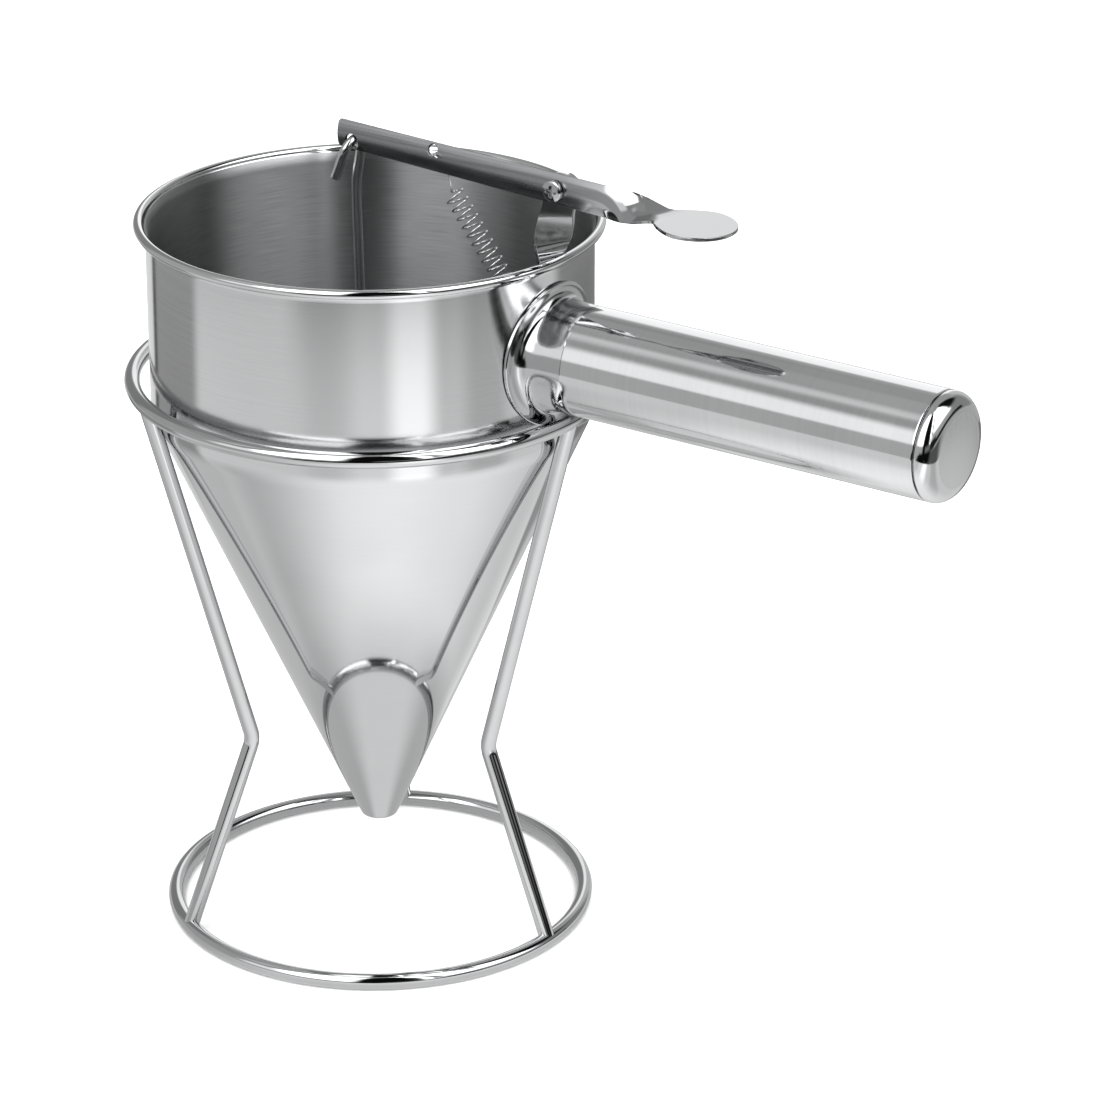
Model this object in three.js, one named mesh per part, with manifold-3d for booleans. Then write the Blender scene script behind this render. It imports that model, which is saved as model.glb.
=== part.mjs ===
// Batter dispenser: a steel funnel with a lever valve and a tube handle, resting in a wire stand.
// Millimetres, +Z up. The funnel's axis is x = 0, y = 0 until the whole is centred at the end.
// The handle points along +X and the lever lies over the funnel's mouth, on the -Y side of its axis.
import * as THREE from 'three';
import { mergeVertices } from 'three/addons/utils/BufferGeometryUtils.js';
import Module from 'manifold-3d';

const wasm = await Module();
wasm.setup();

// Clearance kept between pieces that touch or run on each other
const seatGap = 0.3;

// Stand: two rings and three bent legs of one wire
const standWire = 5;
const baseRingRadius = 66.3;
const topRingHeight = 180.6;
const topRingClearance = 2.98;
const waistRadius = 43.1;
const waistHeight = 64;
const waistBend = 9;
const legFootInset = 0.2;
const legNames = ['stand_leg_handle', 'stand_leg_back', 'stand_leg_front'];

// Funnel shell: cylinder with a beaded rim, rounded shoulder, long cone and rolled tip
const funnelRadius = 69;
const funnelWall = 0.8;
const shoulderFillet = 5;
const cylinderHeight = 60.6;
const coneHeight = 141.6;
const rimBead = 3;
const rimOverhang = 2;
const rimFlare = 2.4;
const rimTuck = 140;
const tipRadius = 5.5;
const tipRounding = 1.8;
const outletRadius = 4.4;
const outletLip = 0.6;

// Handle: flared collar on the cylinder, tube and plugged end cap
const handleRise = 20.9;
const handleRootRadius = 17;
const handleEndRadius = 16.6;
const handleWall = 1;
const handleTubeLength = 120.7;
const collarReach = 12.9;
const flangeRadius = 22.2;
const flangeThickness = 0.8;
const collarSweep = 2.6;
const collarHollow = 4;
const collarPace = 2;
const capDepth = 5.6;
const capCorner = 6;
const capDome = 0.4;
const capSpigot = 8;

// Lever: one arched strip that twists a quarter turn into a round thumb plate
const leverPlane = -5.2;
const leverSlope = 2.4;
const leverThickness = 1.2;
const leverArch = 1.7;
const leverTailHeight = 10.2;
const leverRootHeight = 11.3;
const leverTail = 5.5;
const pivotReach = 4.3;
const pivotRise = 24.4;
const twistStart = 14.7;
const twistEnd = 40.7;
const thumbReach = 48.7;
const thumbRadius = 12.5;
const thumbNeckBlend = 2;
const hookHoleReach = 75;
const hookHoleWidth = 4.6;
const hookHoleHeight = 5.4;
const hookHoleDrop = 1.5;
const springHoleReach = 44.8;
const springHoleRadius = 1.7;
const springHoleRise = 2.1;

// Pivot hardware, stacked along Y through lever and bracket
const pivotPin = 3;
const screwHead = 6.6;
const screwHeadThickness = 2;
const screwHeadDome = 0.7;
const recessLength = 3.6;
const recessWidth = 0.9;
const recessDepth = 1.1;
const spacerRadius = 3;
const washerRadius = 3.4;
const washerThickness = 0.8;
const nutAcrossFlats = 5.5;
const nutThickness = 2.4;
const threadOverrun = 1;

// Bracket: flat foot on the inner wall, a quarter twist, and a tab that the pivot goes through
const bracketWidth = 11.4;
const bracketThickness = 1.5;
const bracketPlane = -2.25;
const bracketEyeRise = 4.2;
const bracketTwistStart = 1.7;
const bracketTwistEnd = 16.8;
const bracketFootDrop = 26.7;
const bracketLip = 9.4;
const bracketBend = 3;
const lipHoleRadius = 1.6;
const lipHoleInset = 3;

// Return spring: open coils hooked through the lever and through the bracket's lip
const springWire = 0.7;
const springRadius = 3;
const springCurls = 15;
const springDropBelowHole = 12.6;
const springBackset = 2.15;
const springTopReach = 4.7;
const springFootRise = 6.3;
const springFootInset = 2.5;
const springTail = 2.3;

// Valve: hooked rod and a conical stopper seated in the cone
const rodWire = 3;
const rodKinkDrop = 15.6;
const rodKinkInset = 3.8;
const hookRadius = 4.5;
const hookTilt = 21;
const hookLeg = 8.6;
const hookShift = 0.4;
const stopperRadius = 7;
const stopperNoseRise = 2;
const stopperBelt = 2;
const stopperCrown = 1.8;
const stopperSocket = 5;

// Facet counts
const funnelSegments = 64;
const ringSegments = 48;
const wireSides = 8;
const handleSegments = 40;
const smallSegments = 16;
const filletSteps = 4;
const collarSteps = 6;
const eyeSteps = 6;
const nutSides = 6;
const beadSteps = 8;
const legSteps = 30;
const rodSteps = 40;
const stripColumns = 6;
const twistRows = 10;
const thumbRows = 8;
const curlSteps = 8;
const curlSides = 5;
const hookSteps = 3;

const polished = new THREE.MeshStandardMaterial({ color: 0xd9dbdc, roughness: 0.12, metalness: 1 });
const brushed = new THREE.MeshStandardMaterial({ color: 0xb4b7b9, roughness: 0.34, metalness: 1 });
const chromed = new THREE.MeshStandardMaterial({ color: 0xe2e4e6, roughness: 0.08, metalness: 1 });

const radians = (degrees) => THREE.MathUtils.degToRad(degrees);
const share = (value, from, to) => Math.min(1, Math.max(0, (value - from) / (to - from)));
const eased = (t) => t * t * (3 - 2 * t);

// Shared corners, and no triangle that has collapsed on an axis or a tip
function closed(geometry) {
  geometry.deleteAttribute('normal');
  geometry.deleteAttribute('uv');
  const merged = mergeVertices(geometry);
  const index = merged.getIndex().array;
  const kept = [];
  for (let i = 0; i < index.length; i += 3) {
    const [a, b, c] = [index[i], index[i + 1], index[i + 2]];
    if (a !== b && b !== c && c !== a) {
      kept.push(a, b, c);
    }
  }
  merged.setIndex(kept);
  merged.clearGroups();
  return merged;
}

function fromArrays(vertices, triangles) {
  const geometry = new THREE.BufferGeometry();
  geometry.setAttribute('position', new THREE.Float32BufferAttribute(vertices, 3));
  geometry.setIndex(triangles);
  return closed(geometry);
}

function toSolid(geometry) {
  const vertProperties = Float32Array.from(geometry.getAttribute('position').array);
  const triVerts = Uint32Array.from(geometry.getIndex().array);
  return new wasm.Manifold(new wasm.Mesh({ numProp: 3, vertProperties, triVerts }));
}

function cut(geometry, tools) {
  let solid = toSolid(geometry);
  for (const tool of tools) {
    solid = solid.subtract(toSolid(tool));
  }
  const mesh = solid.getMesh();
  return fromArrays(Array.from(mesh.vertProperties), Array.from(mesh.triVerts));
}

// A profile of [radius, height] points, outside upwards and inside downwards, turned about +Z
function turned(profile, segments) {
  const points = profile.map(([radius, height]) => new THREE.Vector2(radius, height));
  const geometry = closed(new THREE.LatheGeometry(points, segments));
  return geometry.rotateX(Math.PI / 2);
}

// The same profile turned about +X, its heights running along the handle
function turnedAlongX(profile, segments) {
  return turned(profile, segments).rotateY(Math.PI / 2);
}

// The same profile turned about Y, its heights running towards the viewer's side, -Y
function turnedAlongMinusY(profile, segments) {
  return turned(profile, segments).rotateX(Math.PI / 2);
}

// Regular polygon with its flats a wire's thickness apart, one flat facing straight down
function wireSection(diameter) {
  const corner = diameter / 2 / Math.cos(Math.PI / wireSides);
  const points = [];
  for (let i = 0; i < wireSides; i += 1) {
    const angle = ((i + 1 / 2) / wireSides) * 2 * Math.PI;
    points.push(new THREE.Vector2(corner * Math.cos(angle), corner * Math.sin(angle)));
  }
  return points;
}

function wireRing(radius, height, diameter) {
  const section = wireSection(diameter).map((point) => [radius + point.x, height + point.y]);
  return turned([...section, section[0]], ringSegments);
}

function wireAlong(path, diameter, steps) {
  const section = new THREE.Shape(wireSection(diameter));
  return closed(new THREE.ExtrudeGeometry(section, { steps, extrudePath: path }));
}

// Closed solid between a front and a back row of points at each station along a strip
function plate(rows) {
  const vertices = [];
  const triangles = [];
  const columns = rows[0].front.length;
  for (const row of rows) {
    for (const point of [...row.front, ...row.back]) {
      vertices.push(point.x, point.y, point.z);
    }
  }
  const front = (row, column) => row * 2 * columns + column;
  const back = (row, column) => front(row, column) + columns;
  const quad = (a, b, c, d) => triangles.push(a, b, c, a, c, d);
  for (let i = 0; i + 1 < rows.length; i += 1) {
    for (let j = 0; j + 1 < columns; j += 1) {
      quad(front(i, j), front(i + 1, j), front(i + 1, j + 1), front(i, j + 1));
      quad(back(i, j), back(i, j + 1), back(i + 1, j + 1), back(i + 1, j));
    }
    const j = columns - 1;
    quad(front(i, 0), back(i, 0), back(i + 1, 0), front(i + 1, 0));
    quad(front(i, j), front(i + 1, j), back(i + 1, j), back(i, j));
  }
  const end = rows.length - 1;
  for (let j = 0; j + 1 < columns; j += 1) {
    quad(front(0, j), front(0, j + 1), back(0, j + 1), back(0, j));
    quad(front(end, j), back(end, j), back(end, j + 1), front(end, j + 1));
  }
  return fromArrays(vertices, triangles);
}

// A round pin along Y, long enough to pass through a plate, used to cut holes
function holePin(radius, x, z, reach, stretch = 0) {
  const shape = new THREE.Shape();
  shape.absarc(0, stretch / 2, radius, 0, Math.PI, false);
  shape.absarc(0, -stretch / 2, radius, Math.PI, 2 * Math.PI, false);
  const options = { depth: 2 * reach, bevelEnabled: false, curveSegments: smallSegments / 2 };
  const pin = closed(new THREE.ExtrudeGeometry(shape, options));
  return pin.translate(0, 0, -reach).rotateX(Math.PI / 2).translate(x, 0, z);
}

// The funnel's rounded shoulder rests between the upper legs, which lean from waist to top ring
const topRingRadius = funnelRadius + topRingClearance + standWire / 2;
const upperLean = Math.atan2(topRingRadius - waistRadius, topRingHeight - waistHeight);
const legStandOff = shoulderFillet + seatGap + standWire / 2;
const seatReach = funnelRadius - shoulderFillet - waistRadius;
const seatRise = (seatReach * Math.cos(upperLean) + legStandOff) / Math.sin(upperLean);
const filletCentre = { radius: funnelRadius - shoulderFillet, height: waistHeight + seatRise };

// Funnel heights, counted from the shoulder that the legs hold
const coneSlope = (funnelRadius - tipRadius) / coneHeight;
const coneAngle = Math.atan(coneSlope);
const shoulderHeight = filletCentre.height - shoulderFillet * Math.tan(coneAngle / 2);
const tipHeight = shoulderHeight - coneHeight;
const rimHeight = shoulderHeight + cylinderHeight;
const coneInnerTip = tipRadius - funnelWall / Math.cos(coneAngle);
const coneInnerRadius = (height) => coneInnerTip + (height - tipHeight) * coneSlope;
const rimRadius = funnelRadius + rimOverhang;

function shoulderArc(radius, rising) {
  const points = [];
  for (let i = 0; i <= filletSteps; i += 1) {
    const t = rising ? 1 - i / filletSteps : i / filletSteps;
    const angle = t * coneAngle;
    points.push([
      filletCentre.radius + radius * Math.cos(angle),
      filletCentre.height - radius * Math.sin(angle),
    ]);
  }
  return points;
}

function tipArc() {
  const points = [];
  const turn = Math.PI / 2 - coneAngle;
  const centreRadius = tipRadius - tipRounding * Math.tan(turn / 2);
  for (let i = 0; i <= filletSteps; i += 1) {
    const angle = -Math.PI / 2 + (i / filletSteps) * turn;
    points.push([
      centreRadius + tipRounding * Math.cos(angle),
      tipHeight + tipRounding + tipRounding * Math.sin(angle),
    ]);
  }
  return points;
}

function rimArc() {
  const points = [];
  const from = -radians(rimTuck);
  for (let i = 0; i <= beadSteps; i += 1) {
    const angle = from + (i / beadSteps) * (Math.PI - from);
    points.push([
      rimRadius + (rimBead / 2) * Math.cos(angle),
      rimHeight + (rimBead / 2) * Math.sin(angle),
    ]);
  }
  return points;
}

function funnelShell() {
  const innerRadius = funnelRadius - funnelWall;
  const lipTop = tipHeight + outletLip;
  const profile = [
    [outletRadius, tipHeight],
    ...tipArc(),
    ...shoulderArc(shoulderFillet, true),
    [funnelRadius, rimHeight - rimFlare],
    ...rimArc(),
    [innerRadius, rimHeight - rimBead],
    ...shoulderArc(shoulderFillet - funnelWall, false),
    [coneInnerRadius(lipTop), lipTop],
    [outletRadius, lipTop],
    [outletRadius, tipHeight],
  ];
  return turned(profile, funnelSegments);
}

// Stand: each leg runs from the base ring in to the waist and out again to the top ring
function legPath() {
  const footRadius = baseRingRadius - legFootInset;
  const lowerLean = Math.atan2(footRadius - waistRadius, waistHeight - standWire / 2);
  const upperDirection = new THREE.Vector3(Math.sin(upperLean), 0, Math.cos(upperLean));
  const lowerDirection = new THREE.Vector3(Math.sin(lowerLean), 0, -Math.cos(lowerLean));
  const waist = new THREE.Vector3(waistRadius, 0, waistHeight);
  const along = (direction, height) => {
    return waist.clone().addScaledVector(direction, (height - waist.z) / direction.z);
  };
  const setback = waistBend * Math.tan((upperLean + lowerLean) / 2);
  const path = new THREE.CurvePath();
  const foot = along(lowerDirection, standWire - seatGap);
  const head = along(upperDirection, topRingHeight - standWire / 2 + seatGap);
  const bendStart = waist.clone().addScaledVector(lowerDirection, setback);
  const bendEnd = waist.clone().addScaledVector(upperDirection, setback);
  path.add(new THREE.LineCurve3(foot, bendStart));
  path.add(new THREE.QuadraticBezierCurve3(bendStart, waist, bendEnd));
  path.add(new THREE.LineCurve3(bendEnd, head));
  return path;
}

function standLeg() {
  const cutter = standWire + 2 * seatGap;
  const rings = [
    wireRing(baseRingRadius, standWire / 2, cutter),
    wireRing(topRingRadius, topRingHeight, cutter),
  ];
  return cut(wireAlong(legPath(), standWire, legSteps), rings);
}

// Collar: rings about the handle's axis whose first ones hug the cylinder and whose last are flat
const handleHeight = topRingHeight + handleRise;
const collarStart = funnelRadius + seatGap;
const tubeStart = collarStart + collarReach;

function collarRing(radius, standOff) {
  const points = [];
  for (let i = 0; i < handleSegments; i += 1) {
    const angle = (i / handleSegments) * 2 * Math.PI;
    const y = radius * Math.cos(angle);
    const wall = Math.sqrt(collarStart ** 2 - y ** 2);
    const reach = standOff / collarReach;
    const x = wall + (tubeStart - wall) * reach;
    points.push(new THREE.Vector3(x, y, handleHeight + radius * Math.sin(angle)));
  }
  return points;
}

function handleCollar() {
  const bore = handleRootRadius - handleWall;
  const rings = [
    collarRing(bore, 0),
    collarRing(flangeRadius, 0),
    collarRing(flangeRadius, flangeThickness),
  ];
  const start = { radius: flangeRadius - collarSweep / 2, standOff: flangeThickness };
  const sweepDrop = start.radius - handleRootRadius;
  const sweepReach = collarReach - flangeThickness;
  for (let i = 0; i <= collarSteps; i += 1) {
    const t = i / collarSteps;
    const radius = handleRootRadius + sweepDrop * (1 - t) ** collarHollow;
    rings.push(collarRing(radius, start.standOff + sweepReach * t ** collarPace));
  }
  rings.push(collarRing(bore, collarReach));
  const vertices = rings.flat().flatMap((point) => [point.x, point.y, point.z]);
  const triangles = [];
  for (let i = 0; i < rings.length; i += 1) {
    const next = (i + 1) % rings.length;
    for (let j = 0; j < handleSegments; j += 1) {
      const k = (j + 1) % handleSegments;
      const [a, b] = [i * handleSegments + j, next * handleSegments + j];
      const [c, d] = [next * handleSegments + k, i * handleSegments + k];
      triangles.push(a, d, c, a, c, b);
    }
  }
  return fromArrays(vertices, triangles);
}

function handleTube() {
  const profile = [
    [handleRootRadius - handleWall, 0],
    [handleRootRadius, 0],
    [handleEndRadius, handleTubeLength],
    [handleEndRadius - handleWall, handleTubeLength],
    [handleRootRadius - handleWall, 0],
  ];
  return turnedAlongX(profile, handleSegments);
}

function handleEndCap() {
  const spigot = handleEndRadius - handleWall - seatGap;
  const profile = [
    [0, -capSpigot],
    [spigot, -capSpigot],
    [spigot, 0],
    [handleEndRadius, 0],
  ];
  for (let i = 1; i <= filletSteps; i += 1) {
    const angle = (i / filletSteps) * (Math.PI / 2);
    profile.push([
      handleEndRadius - capCorner + capCorner * Math.cos(angle),
      capDepth * Math.sin(angle),
    ]);
  }
  profile.push([0, capDepth + capDome]);
  return turnedAlongX(profile, handleSegments);
}

// Lever: drawn along its own X with the pivot at the origin, arched in section, twisted to the thumb
const pivot = new THREE.Vector3(funnelRadius + pivotReach, leverPlane, rimHeight + pivotRise);
const leverCrest = -leverArch / 2;

function leverHalfHeight(along) {
  const tail = -(hookHoleReach + leverTail);
  const t = share(along, tail, twistStart);
  const strip = (leverTailHeight + (leverRootHeight - leverTailHeight) * t) / 2;
  const square = thumbRadius ** 2 - (along - thumbReach) ** 2;
  const disc = square > 0 ? Math.sqrt(square) : 0;
  if (along > thumbReach) {
    return disc;
  }
  const step = disc - strip;
  return (disc + strip + Math.hypot(step, thumbNeckBlend) - thumbNeckBlend) / 2;
}

function leverRow(along) {
  const turn = eased(share(along, twistStart, twistEnd));
  const arch = leverArch * (1 - turn);
  const half = leverHalfHeight(along);
  const twist = (-Math.PI / 2) * turn;
  const row = { front: [], back: [] };
  for (let j = 0; j <= stripColumns; j += 1) {
    const q = (2 * j) / stripColumns - 1;
    const slope = (2 * arch * q) / half;
    const offset = leverThickness / 2 / Math.hypot(1, slope);
    const y = arch * q * q - arch / 2;
    const z = half * q;
    for (const [side, sign] of [[row.front, 1], [row.back, -1]]) {
      const flatY = y - sign * offset;
      const flatZ = z + sign * offset * slope;
      side.push(new THREE.Vector3(
        along,
        flatY * Math.cos(twist) - flatZ * Math.sin(twist),
        flatY * Math.sin(twist) + flatZ * Math.cos(twist),
      ));
    }
  }
  return row;
}

function leverStations() {
  const stations = [-(hookHoleReach + leverTail), 0];
  for (let i = 0; i <= twistRows; i += 1) {
    stations.push(twistStart + ((thumbReach - thumbRadius - twistStart) * i) / twistRows);
  }
  for (let i = 1; i <= thumbRows; i += 1) {
    const angle = Math.PI - (Math.PI * i) / (thumbRows + 1 / 2);
    stations.push(thumbReach + thumbRadius * Math.cos(angle));
  }
  return stations;
}

function thumbLever() {
  const blank = plate(leverStations().map(leverRow));
  const through = leverArch + 2 * leverThickness;
  const hookSlot = holePin(
    hookHoleWidth / 2, -hookHoleReach, -hookHoleDrop, through, hookHoleHeight - hookHoleWidth,
  );
  const springHole = holePin(springHoleRadius, -springHoleReach, springHoleRise, through);
  const pivotHole = holePin(pivotPin / 2 + seatGap, 0, 0, through);
  return cut(blank, [hookSlot, springHole, pivotHole]);
}

// A point given in the lever's own frame, as it lies in the assembly
function onLever(along, across, up) {
  const point = new THREE.Vector3(along, across, up);
  point.applyAxisAngle(new THREE.Vector3(0, 1, 0), radians(leverSlope));
  return point.add(pivot);
}

// Pivot stack: where each face lies along Y, from the screw's head to its threaded end
const crestFront = leverPlane + leverCrest - leverThickness / 2;
const crestBack = leverPlane + leverCrest + leverThickness / 2;
const archUnderSpacer = leverArch * (spacerRadius / (leverRootHeight / 2)) ** 2;
const headFace = crestFront - seatGap;
const spacerNear = crestBack + archUnderSpacer + seatGap;
const bracketNear = bracketPlane - bracketThickness / 2;
const bracketFar = bracketPlane + bracketThickness / 2;
const spacerFar = bracketNear - seatGap;
const washerNear = bracketFar + seatGap;
const washerFar = washerNear + washerThickness;
const nutNear = washerFar + seatGap;
const screwEnd = nutNear + nutThickness + threadOverrun;

function pivotScrew() {
  const shank = pivotPin / 2;
  const head = screwHead / 2;
  const rimOfHead = screwHeadThickness - screwHeadDome;
  const length = screwEnd - headFace;
  const profile = [
    [0, -length],
    [shank, -length],
    [shank, 0],
    [head, 0],
    [head, rimOfHead],
    [head * Math.cos(Math.PI / 4), rimOfHead + screwHeadDome * Math.sin(Math.PI / 4)],
    [0, screwHeadThickness],
  ];
  const recess = [0, Math.PI / 2].map((turn) => {
    const slot = new THREE.BoxGeometry(recessLength, recessWidth, 2 * recessDepth);
    return closed(slot.rotateZ(turn).translate(0, 0, screwHeadThickness));
  });
  return cut(turned(profile, smallSegments), recess).rotateX(Math.PI / 2);
}

function turnedSleeve(outer, bore, length) {
  const profile = [[bore, 0], [outer, 0], [outer, length], [bore, length], [bore, 0]];
  return turnedAlongMinusY(profile, smallSegments);
}

function pivotNut() {
  const corner = nutAcrossFlats / 2 / Math.cos(Math.PI / nutSides);
  const shape = new THREE.Shape();
  for (let i = 0; i < nutSides; i += 1) {
    const angle = (i / nutSides) * 2 * Math.PI;
    shape[i ? 'lineTo' : 'moveTo'](corner * Math.cos(angle), corner * Math.sin(angle));
  }
  const bore = new THREE.Path();
  bore.absarc(0, 0, pivotPin / 2 + seatGap, 0, 2 * Math.PI, true);
  shape.holes.push(bore);
  const options = { depth: nutThickness, bevelEnabled: false, curveSegments: smallSegments };
  return closed(new THREE.ExtrudeGeometry(shape, options)).rotateX(Math.PI / 2);
}

// Bracket: stations from the lip's inner end, round the bend, up the wall, through the twist
const footChord = Math.sqrt((funnelRadius - funnelWall) ** 2 - (bracketWidth / 2) ** 2);
const footPlane = footChord - seatGap - bracketThickness / 2;
const lipPlane = rimHeight - bracketFootDrop;
const lipHoleX = footPlane - bracketLip + lipHoleInset;

function bracketRow(centre, half, width, normal) {
  const front = [];
  const back = [];
  for (const q of [-1, 0, 1]) {
    const point = centre.clone().addScaledVector(width, half * q);
    front.push(point.clone().addScaledVector(normal, bracketThickness / 2));
    back.push(point.clone().addScaledVector(normal, -bracketThickness / 2));
  }
  return { front, back };
}

function bracketFoot() {
  const rows = [];
  const half = bracketWidth / 2;
  const width = new THREE.Vector3(0, -1, 0);
  const down = new THREE.Vector3(0, 0, -1);
  rows.push(bracketRow(new THREE.Vector3(footPlane - bracketLip, 0, lipPlane), half, width, down));
  for (let i = 0; i <= filletSteps; i += 1) {
    const angle = (i / filletSteps) * (Math.PI / 2);
    const normal = new THREE.Vector3(Math.sin(angle), 0, -Math.cos(angle));
    const centre = new THREE.Vector3(footPlane - bracketBend, 0, lipPlane + bracketBend);
    rows.push(bracketRow(centre.addScaledVector(normal, bracketBend), half, width, normal));
  }
  return rows;
}

function bracketTwist() {
  const rows = [];
  const half = bracketWidth / 2;
  const low = rimHeight - bracketTwistStart;
  const high = rimHeight + bracketTwistEnd;
  const leanEnd = pivot.x - footPlane;
  for (let i = 0; i <= twistRows; i += 1) {
    const t = i / twistRows;
    const height = low + (high - low) * t;
    const turn = (Math.PI / 2) * ((t + eased(t)) / 2);
    const lean = eased(share(height, low - bracketBend, pivot.z + bracketBend));
    const centre = new THREE.Vector3(footPlane + leanEnd * lean, bracketPlane * eased(t), height);
    const width = new THREE.Vector3(-Math.sin(turn), -Math.cos(turn), 0);
    const normal = new THREE.Vector3(Math.cos(turn), -Math.sin(turn), 0);
    rows.push(bracketRow(centre, half, width, normal));
  }
  return rows;
}

function bracketEye() {
  const rows = [];
  const width = new THREE.Vector3(-1, 0, 0);
  const normal = new THREE.Vector3(0, -1, 0);
  for (let i = 0; i < eyeSteps; i += 1) {
    const angle = (i / eyeSteps) * (Math.PI / 2);
    const height = pivot.z + bracketEyeRise * Math.sin(angle);
    const centre = new THREE.Vector3(pivot.x, bracketPlane, height);
    rows.push(bracketRow(centre, (bracketWidth / 2) * Math.cos(angle), width, normal));
  }
  return rows;
}

function leverBracket() {
  const blank = plate([...bracketFoot(), ...bracketTwist(), ...bracketEye()]);
  const eyeHole = holePin(pivotPin / 2 + seatGap, pivot.x, pivot.z, bracketThickness);
  eyeHole.translate(0, bracketPlane, 0);
  const lipHole = holePin(lipHoleRadius, 0, 0, bracketThickness).rotateX(Math.PI / 2);
  lipHole.translate(lipHoleX, 0, lipPlane);
  return cut(blank, [eyeHole, lipHole]);
}

// Spring: a hook through the lever, curls about a straight axis, and a leg through the lip
const springHole = onLever(-springHoleReach, leverCrest, springHoleRise);
const springTop = new THREE.Vector3(
  springHole.x + springTopReach, leverPlane + springBackset, springHole.z - springDropBelowHole,
);
const springFoot = new THREE.Vector3(lipHoleX - springFootInset, 0, lipPlane + springFootRise);

function springPoints() {
  const axis = springFoot.clone().sub(springTop);
  const length = axis.length();
  const along = axis.normalize();
  const side = new THREE.Vector3(0, 1, 0).cross(along).normalize();
  const other = along.clone().cross(side);
  const count = springCurls * curlSteps;
  const curls = [];
  for (let i = 0; i <= count; i += 1) {
    const angle = (i / curlSteps) * 2 * Math.PI;
    const fade = Math.min(1, i / (curlSteps / 2), (count - i) / (curlSteps / 2));
    const reach = springRadius * Math.sin((fade * Math.PI) / 2);
    curls.push(springTop.clone()
      .addScaledVector(along, (length * i) / count)
      .addScaledVector(side, reach * Math.cos(angle))
      .addScaledVector(other, reach * Math.sin(angle)));
  }
  const bearing = seatGap + springWire / 2;
  const pull = new THREE.Vector3(springFoot.x - springHole.x, 0, springFoot.z - springHole.z).normalize();
  const hookSeat = springHole.clone().addScaledVector(pull, springHoleRadius - bearing);
  const front = crestFront - bearing;
  const upperHook = [
    new THREE.Vector3(hookSeat.x + springTail, front - springWire / 2, hookSeat.z - springWire),
    new THREE.Vector3(hookSeat.x + springWire, front, hookSeat.z),
    hookSeat,
    new THREE.Vector3(hookSeat.x, crestBack + leverThickness, hookSeat.z - springWire / 2),
    hookSeat.clone().lerp(springTop, 1 / 2).setY(springTop.y + springWire),
  ];
  const legX = lipHoleX - lipHoleRadius + bearing;
  const underLip = lipPlane - bracketThickness / 2 - bearing;
  const lowerLeg = [
    new THREE.Vector3(legX, 0, lipPlane + bracketThickness / 2 + bearing),
    new THREE.Vector3(legX, 0, lipPlane - bracketThickness / 2),
    new THREE.Vector3(legX - springWire / 2, 0, underLip - springWire / 4),
    new THREE.Vector3(legX - springTail, 0, underLip),
  ];
  const hook = new THREE.CatmullRomCurve3([...upperHook, curls[0]]);
  const leg = new THREE.CatmullRomCurve3([curls[count], ...lowerLeg]);
  return [
    ...hook.getPoints(upperHook.length * hookSteps).slice(0, -1),
    ...curls,
    ...leg.getPoints(lowerLeg.length * hookSteps).slice(1),
  ];
}

// Unbroken tube through the points, its section carried along without twist
function tubeThrough(points, diameter, sides) {
  const vertices = [];
  const triangles = [];
  let normal = new THREE.Vector3(0, 0, 1);
  points.forEach((point, i) => {
    const before = points[Math.max(0, i - 1)];
    const after = points[Math.min(points.length - 1, i + 1)];
    const tangent = after.clone().sub(before).normalize();
    normal = normal.addScaledVector(tangent, -normal.dot(tangent)).normalize();
    const binormal = tangent.clone().cross(normal);
    for (let j = 0; j < sides; j += 1) {
      const angle = (j / sides) * 2 * Math.PI;
      const corner = point.clone()
        .addScaledVector(normal, (diameter / 2) * Math.cos(angle))
        .addScaledVector(binormal, (diameter / 2) * Math.sin(angle));
      vertices.push(corner.x, corner.y, corner.z);
    }
  });
  const last = (points.length - 1) * sides;
  for (let j = 0; j < sides; j += 1) {
    const k = (j + 1) % sides;
    for (let i = 0; i < last; i += sides) {
      triangles.push(i + j, i + k, i + sides + k, i + j, i + sides + k, i + sides + j);
    }
  }
  for (let j = 1; j + 1 < sides; j += 1) {
    triangles.push(0, j + 1, j, last, last + j, last + j + 1);
  }
  return fromArrays(vertices, triangles);
}

// Least distance between the surfaces of two stretches of wire that are a curl or so apart
function leastGap(points, diameter) {
  let least = Infinity;
  const apart = Math.ceil((2 * curlSteps) / 3);
  for (let i = 0; i < points.length; i += 1) {
    for (let j = i + apart; j < points.length; j += 1) {
      least = Math.min(least, points[i].distanceTo(points[j]) - diameter);
    }
  }
  return least;
}

// Valve rod: up from the stopper, a kink, and a hook that hangs on the lever's slot
const slotFloor = -hookHoleDrop - hookHoleHeight / 2;
const hookAxis = onLever(-hookHoleReach + hookShift, leverCrest, slotFloor);
const hookInside = hookRadius - rodWire / 2 / Math.cos(Math.PI / wireSides) - seatGap;
hookAxis.z += hookRadius - Math.sqrt(hookInside ** 2 - (crestFront + hookRadius) ** 2);
const stopperSeat = tipHeight
  + (stopperRadius + seatGap / Math.cos(coneAngle) - coneInnerTip) / coneSlope;
const stopperTop = stopperSeat + stopperBelt + stopperCrown;
const socketFloor = stopperTop - stopperSocket;

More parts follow.
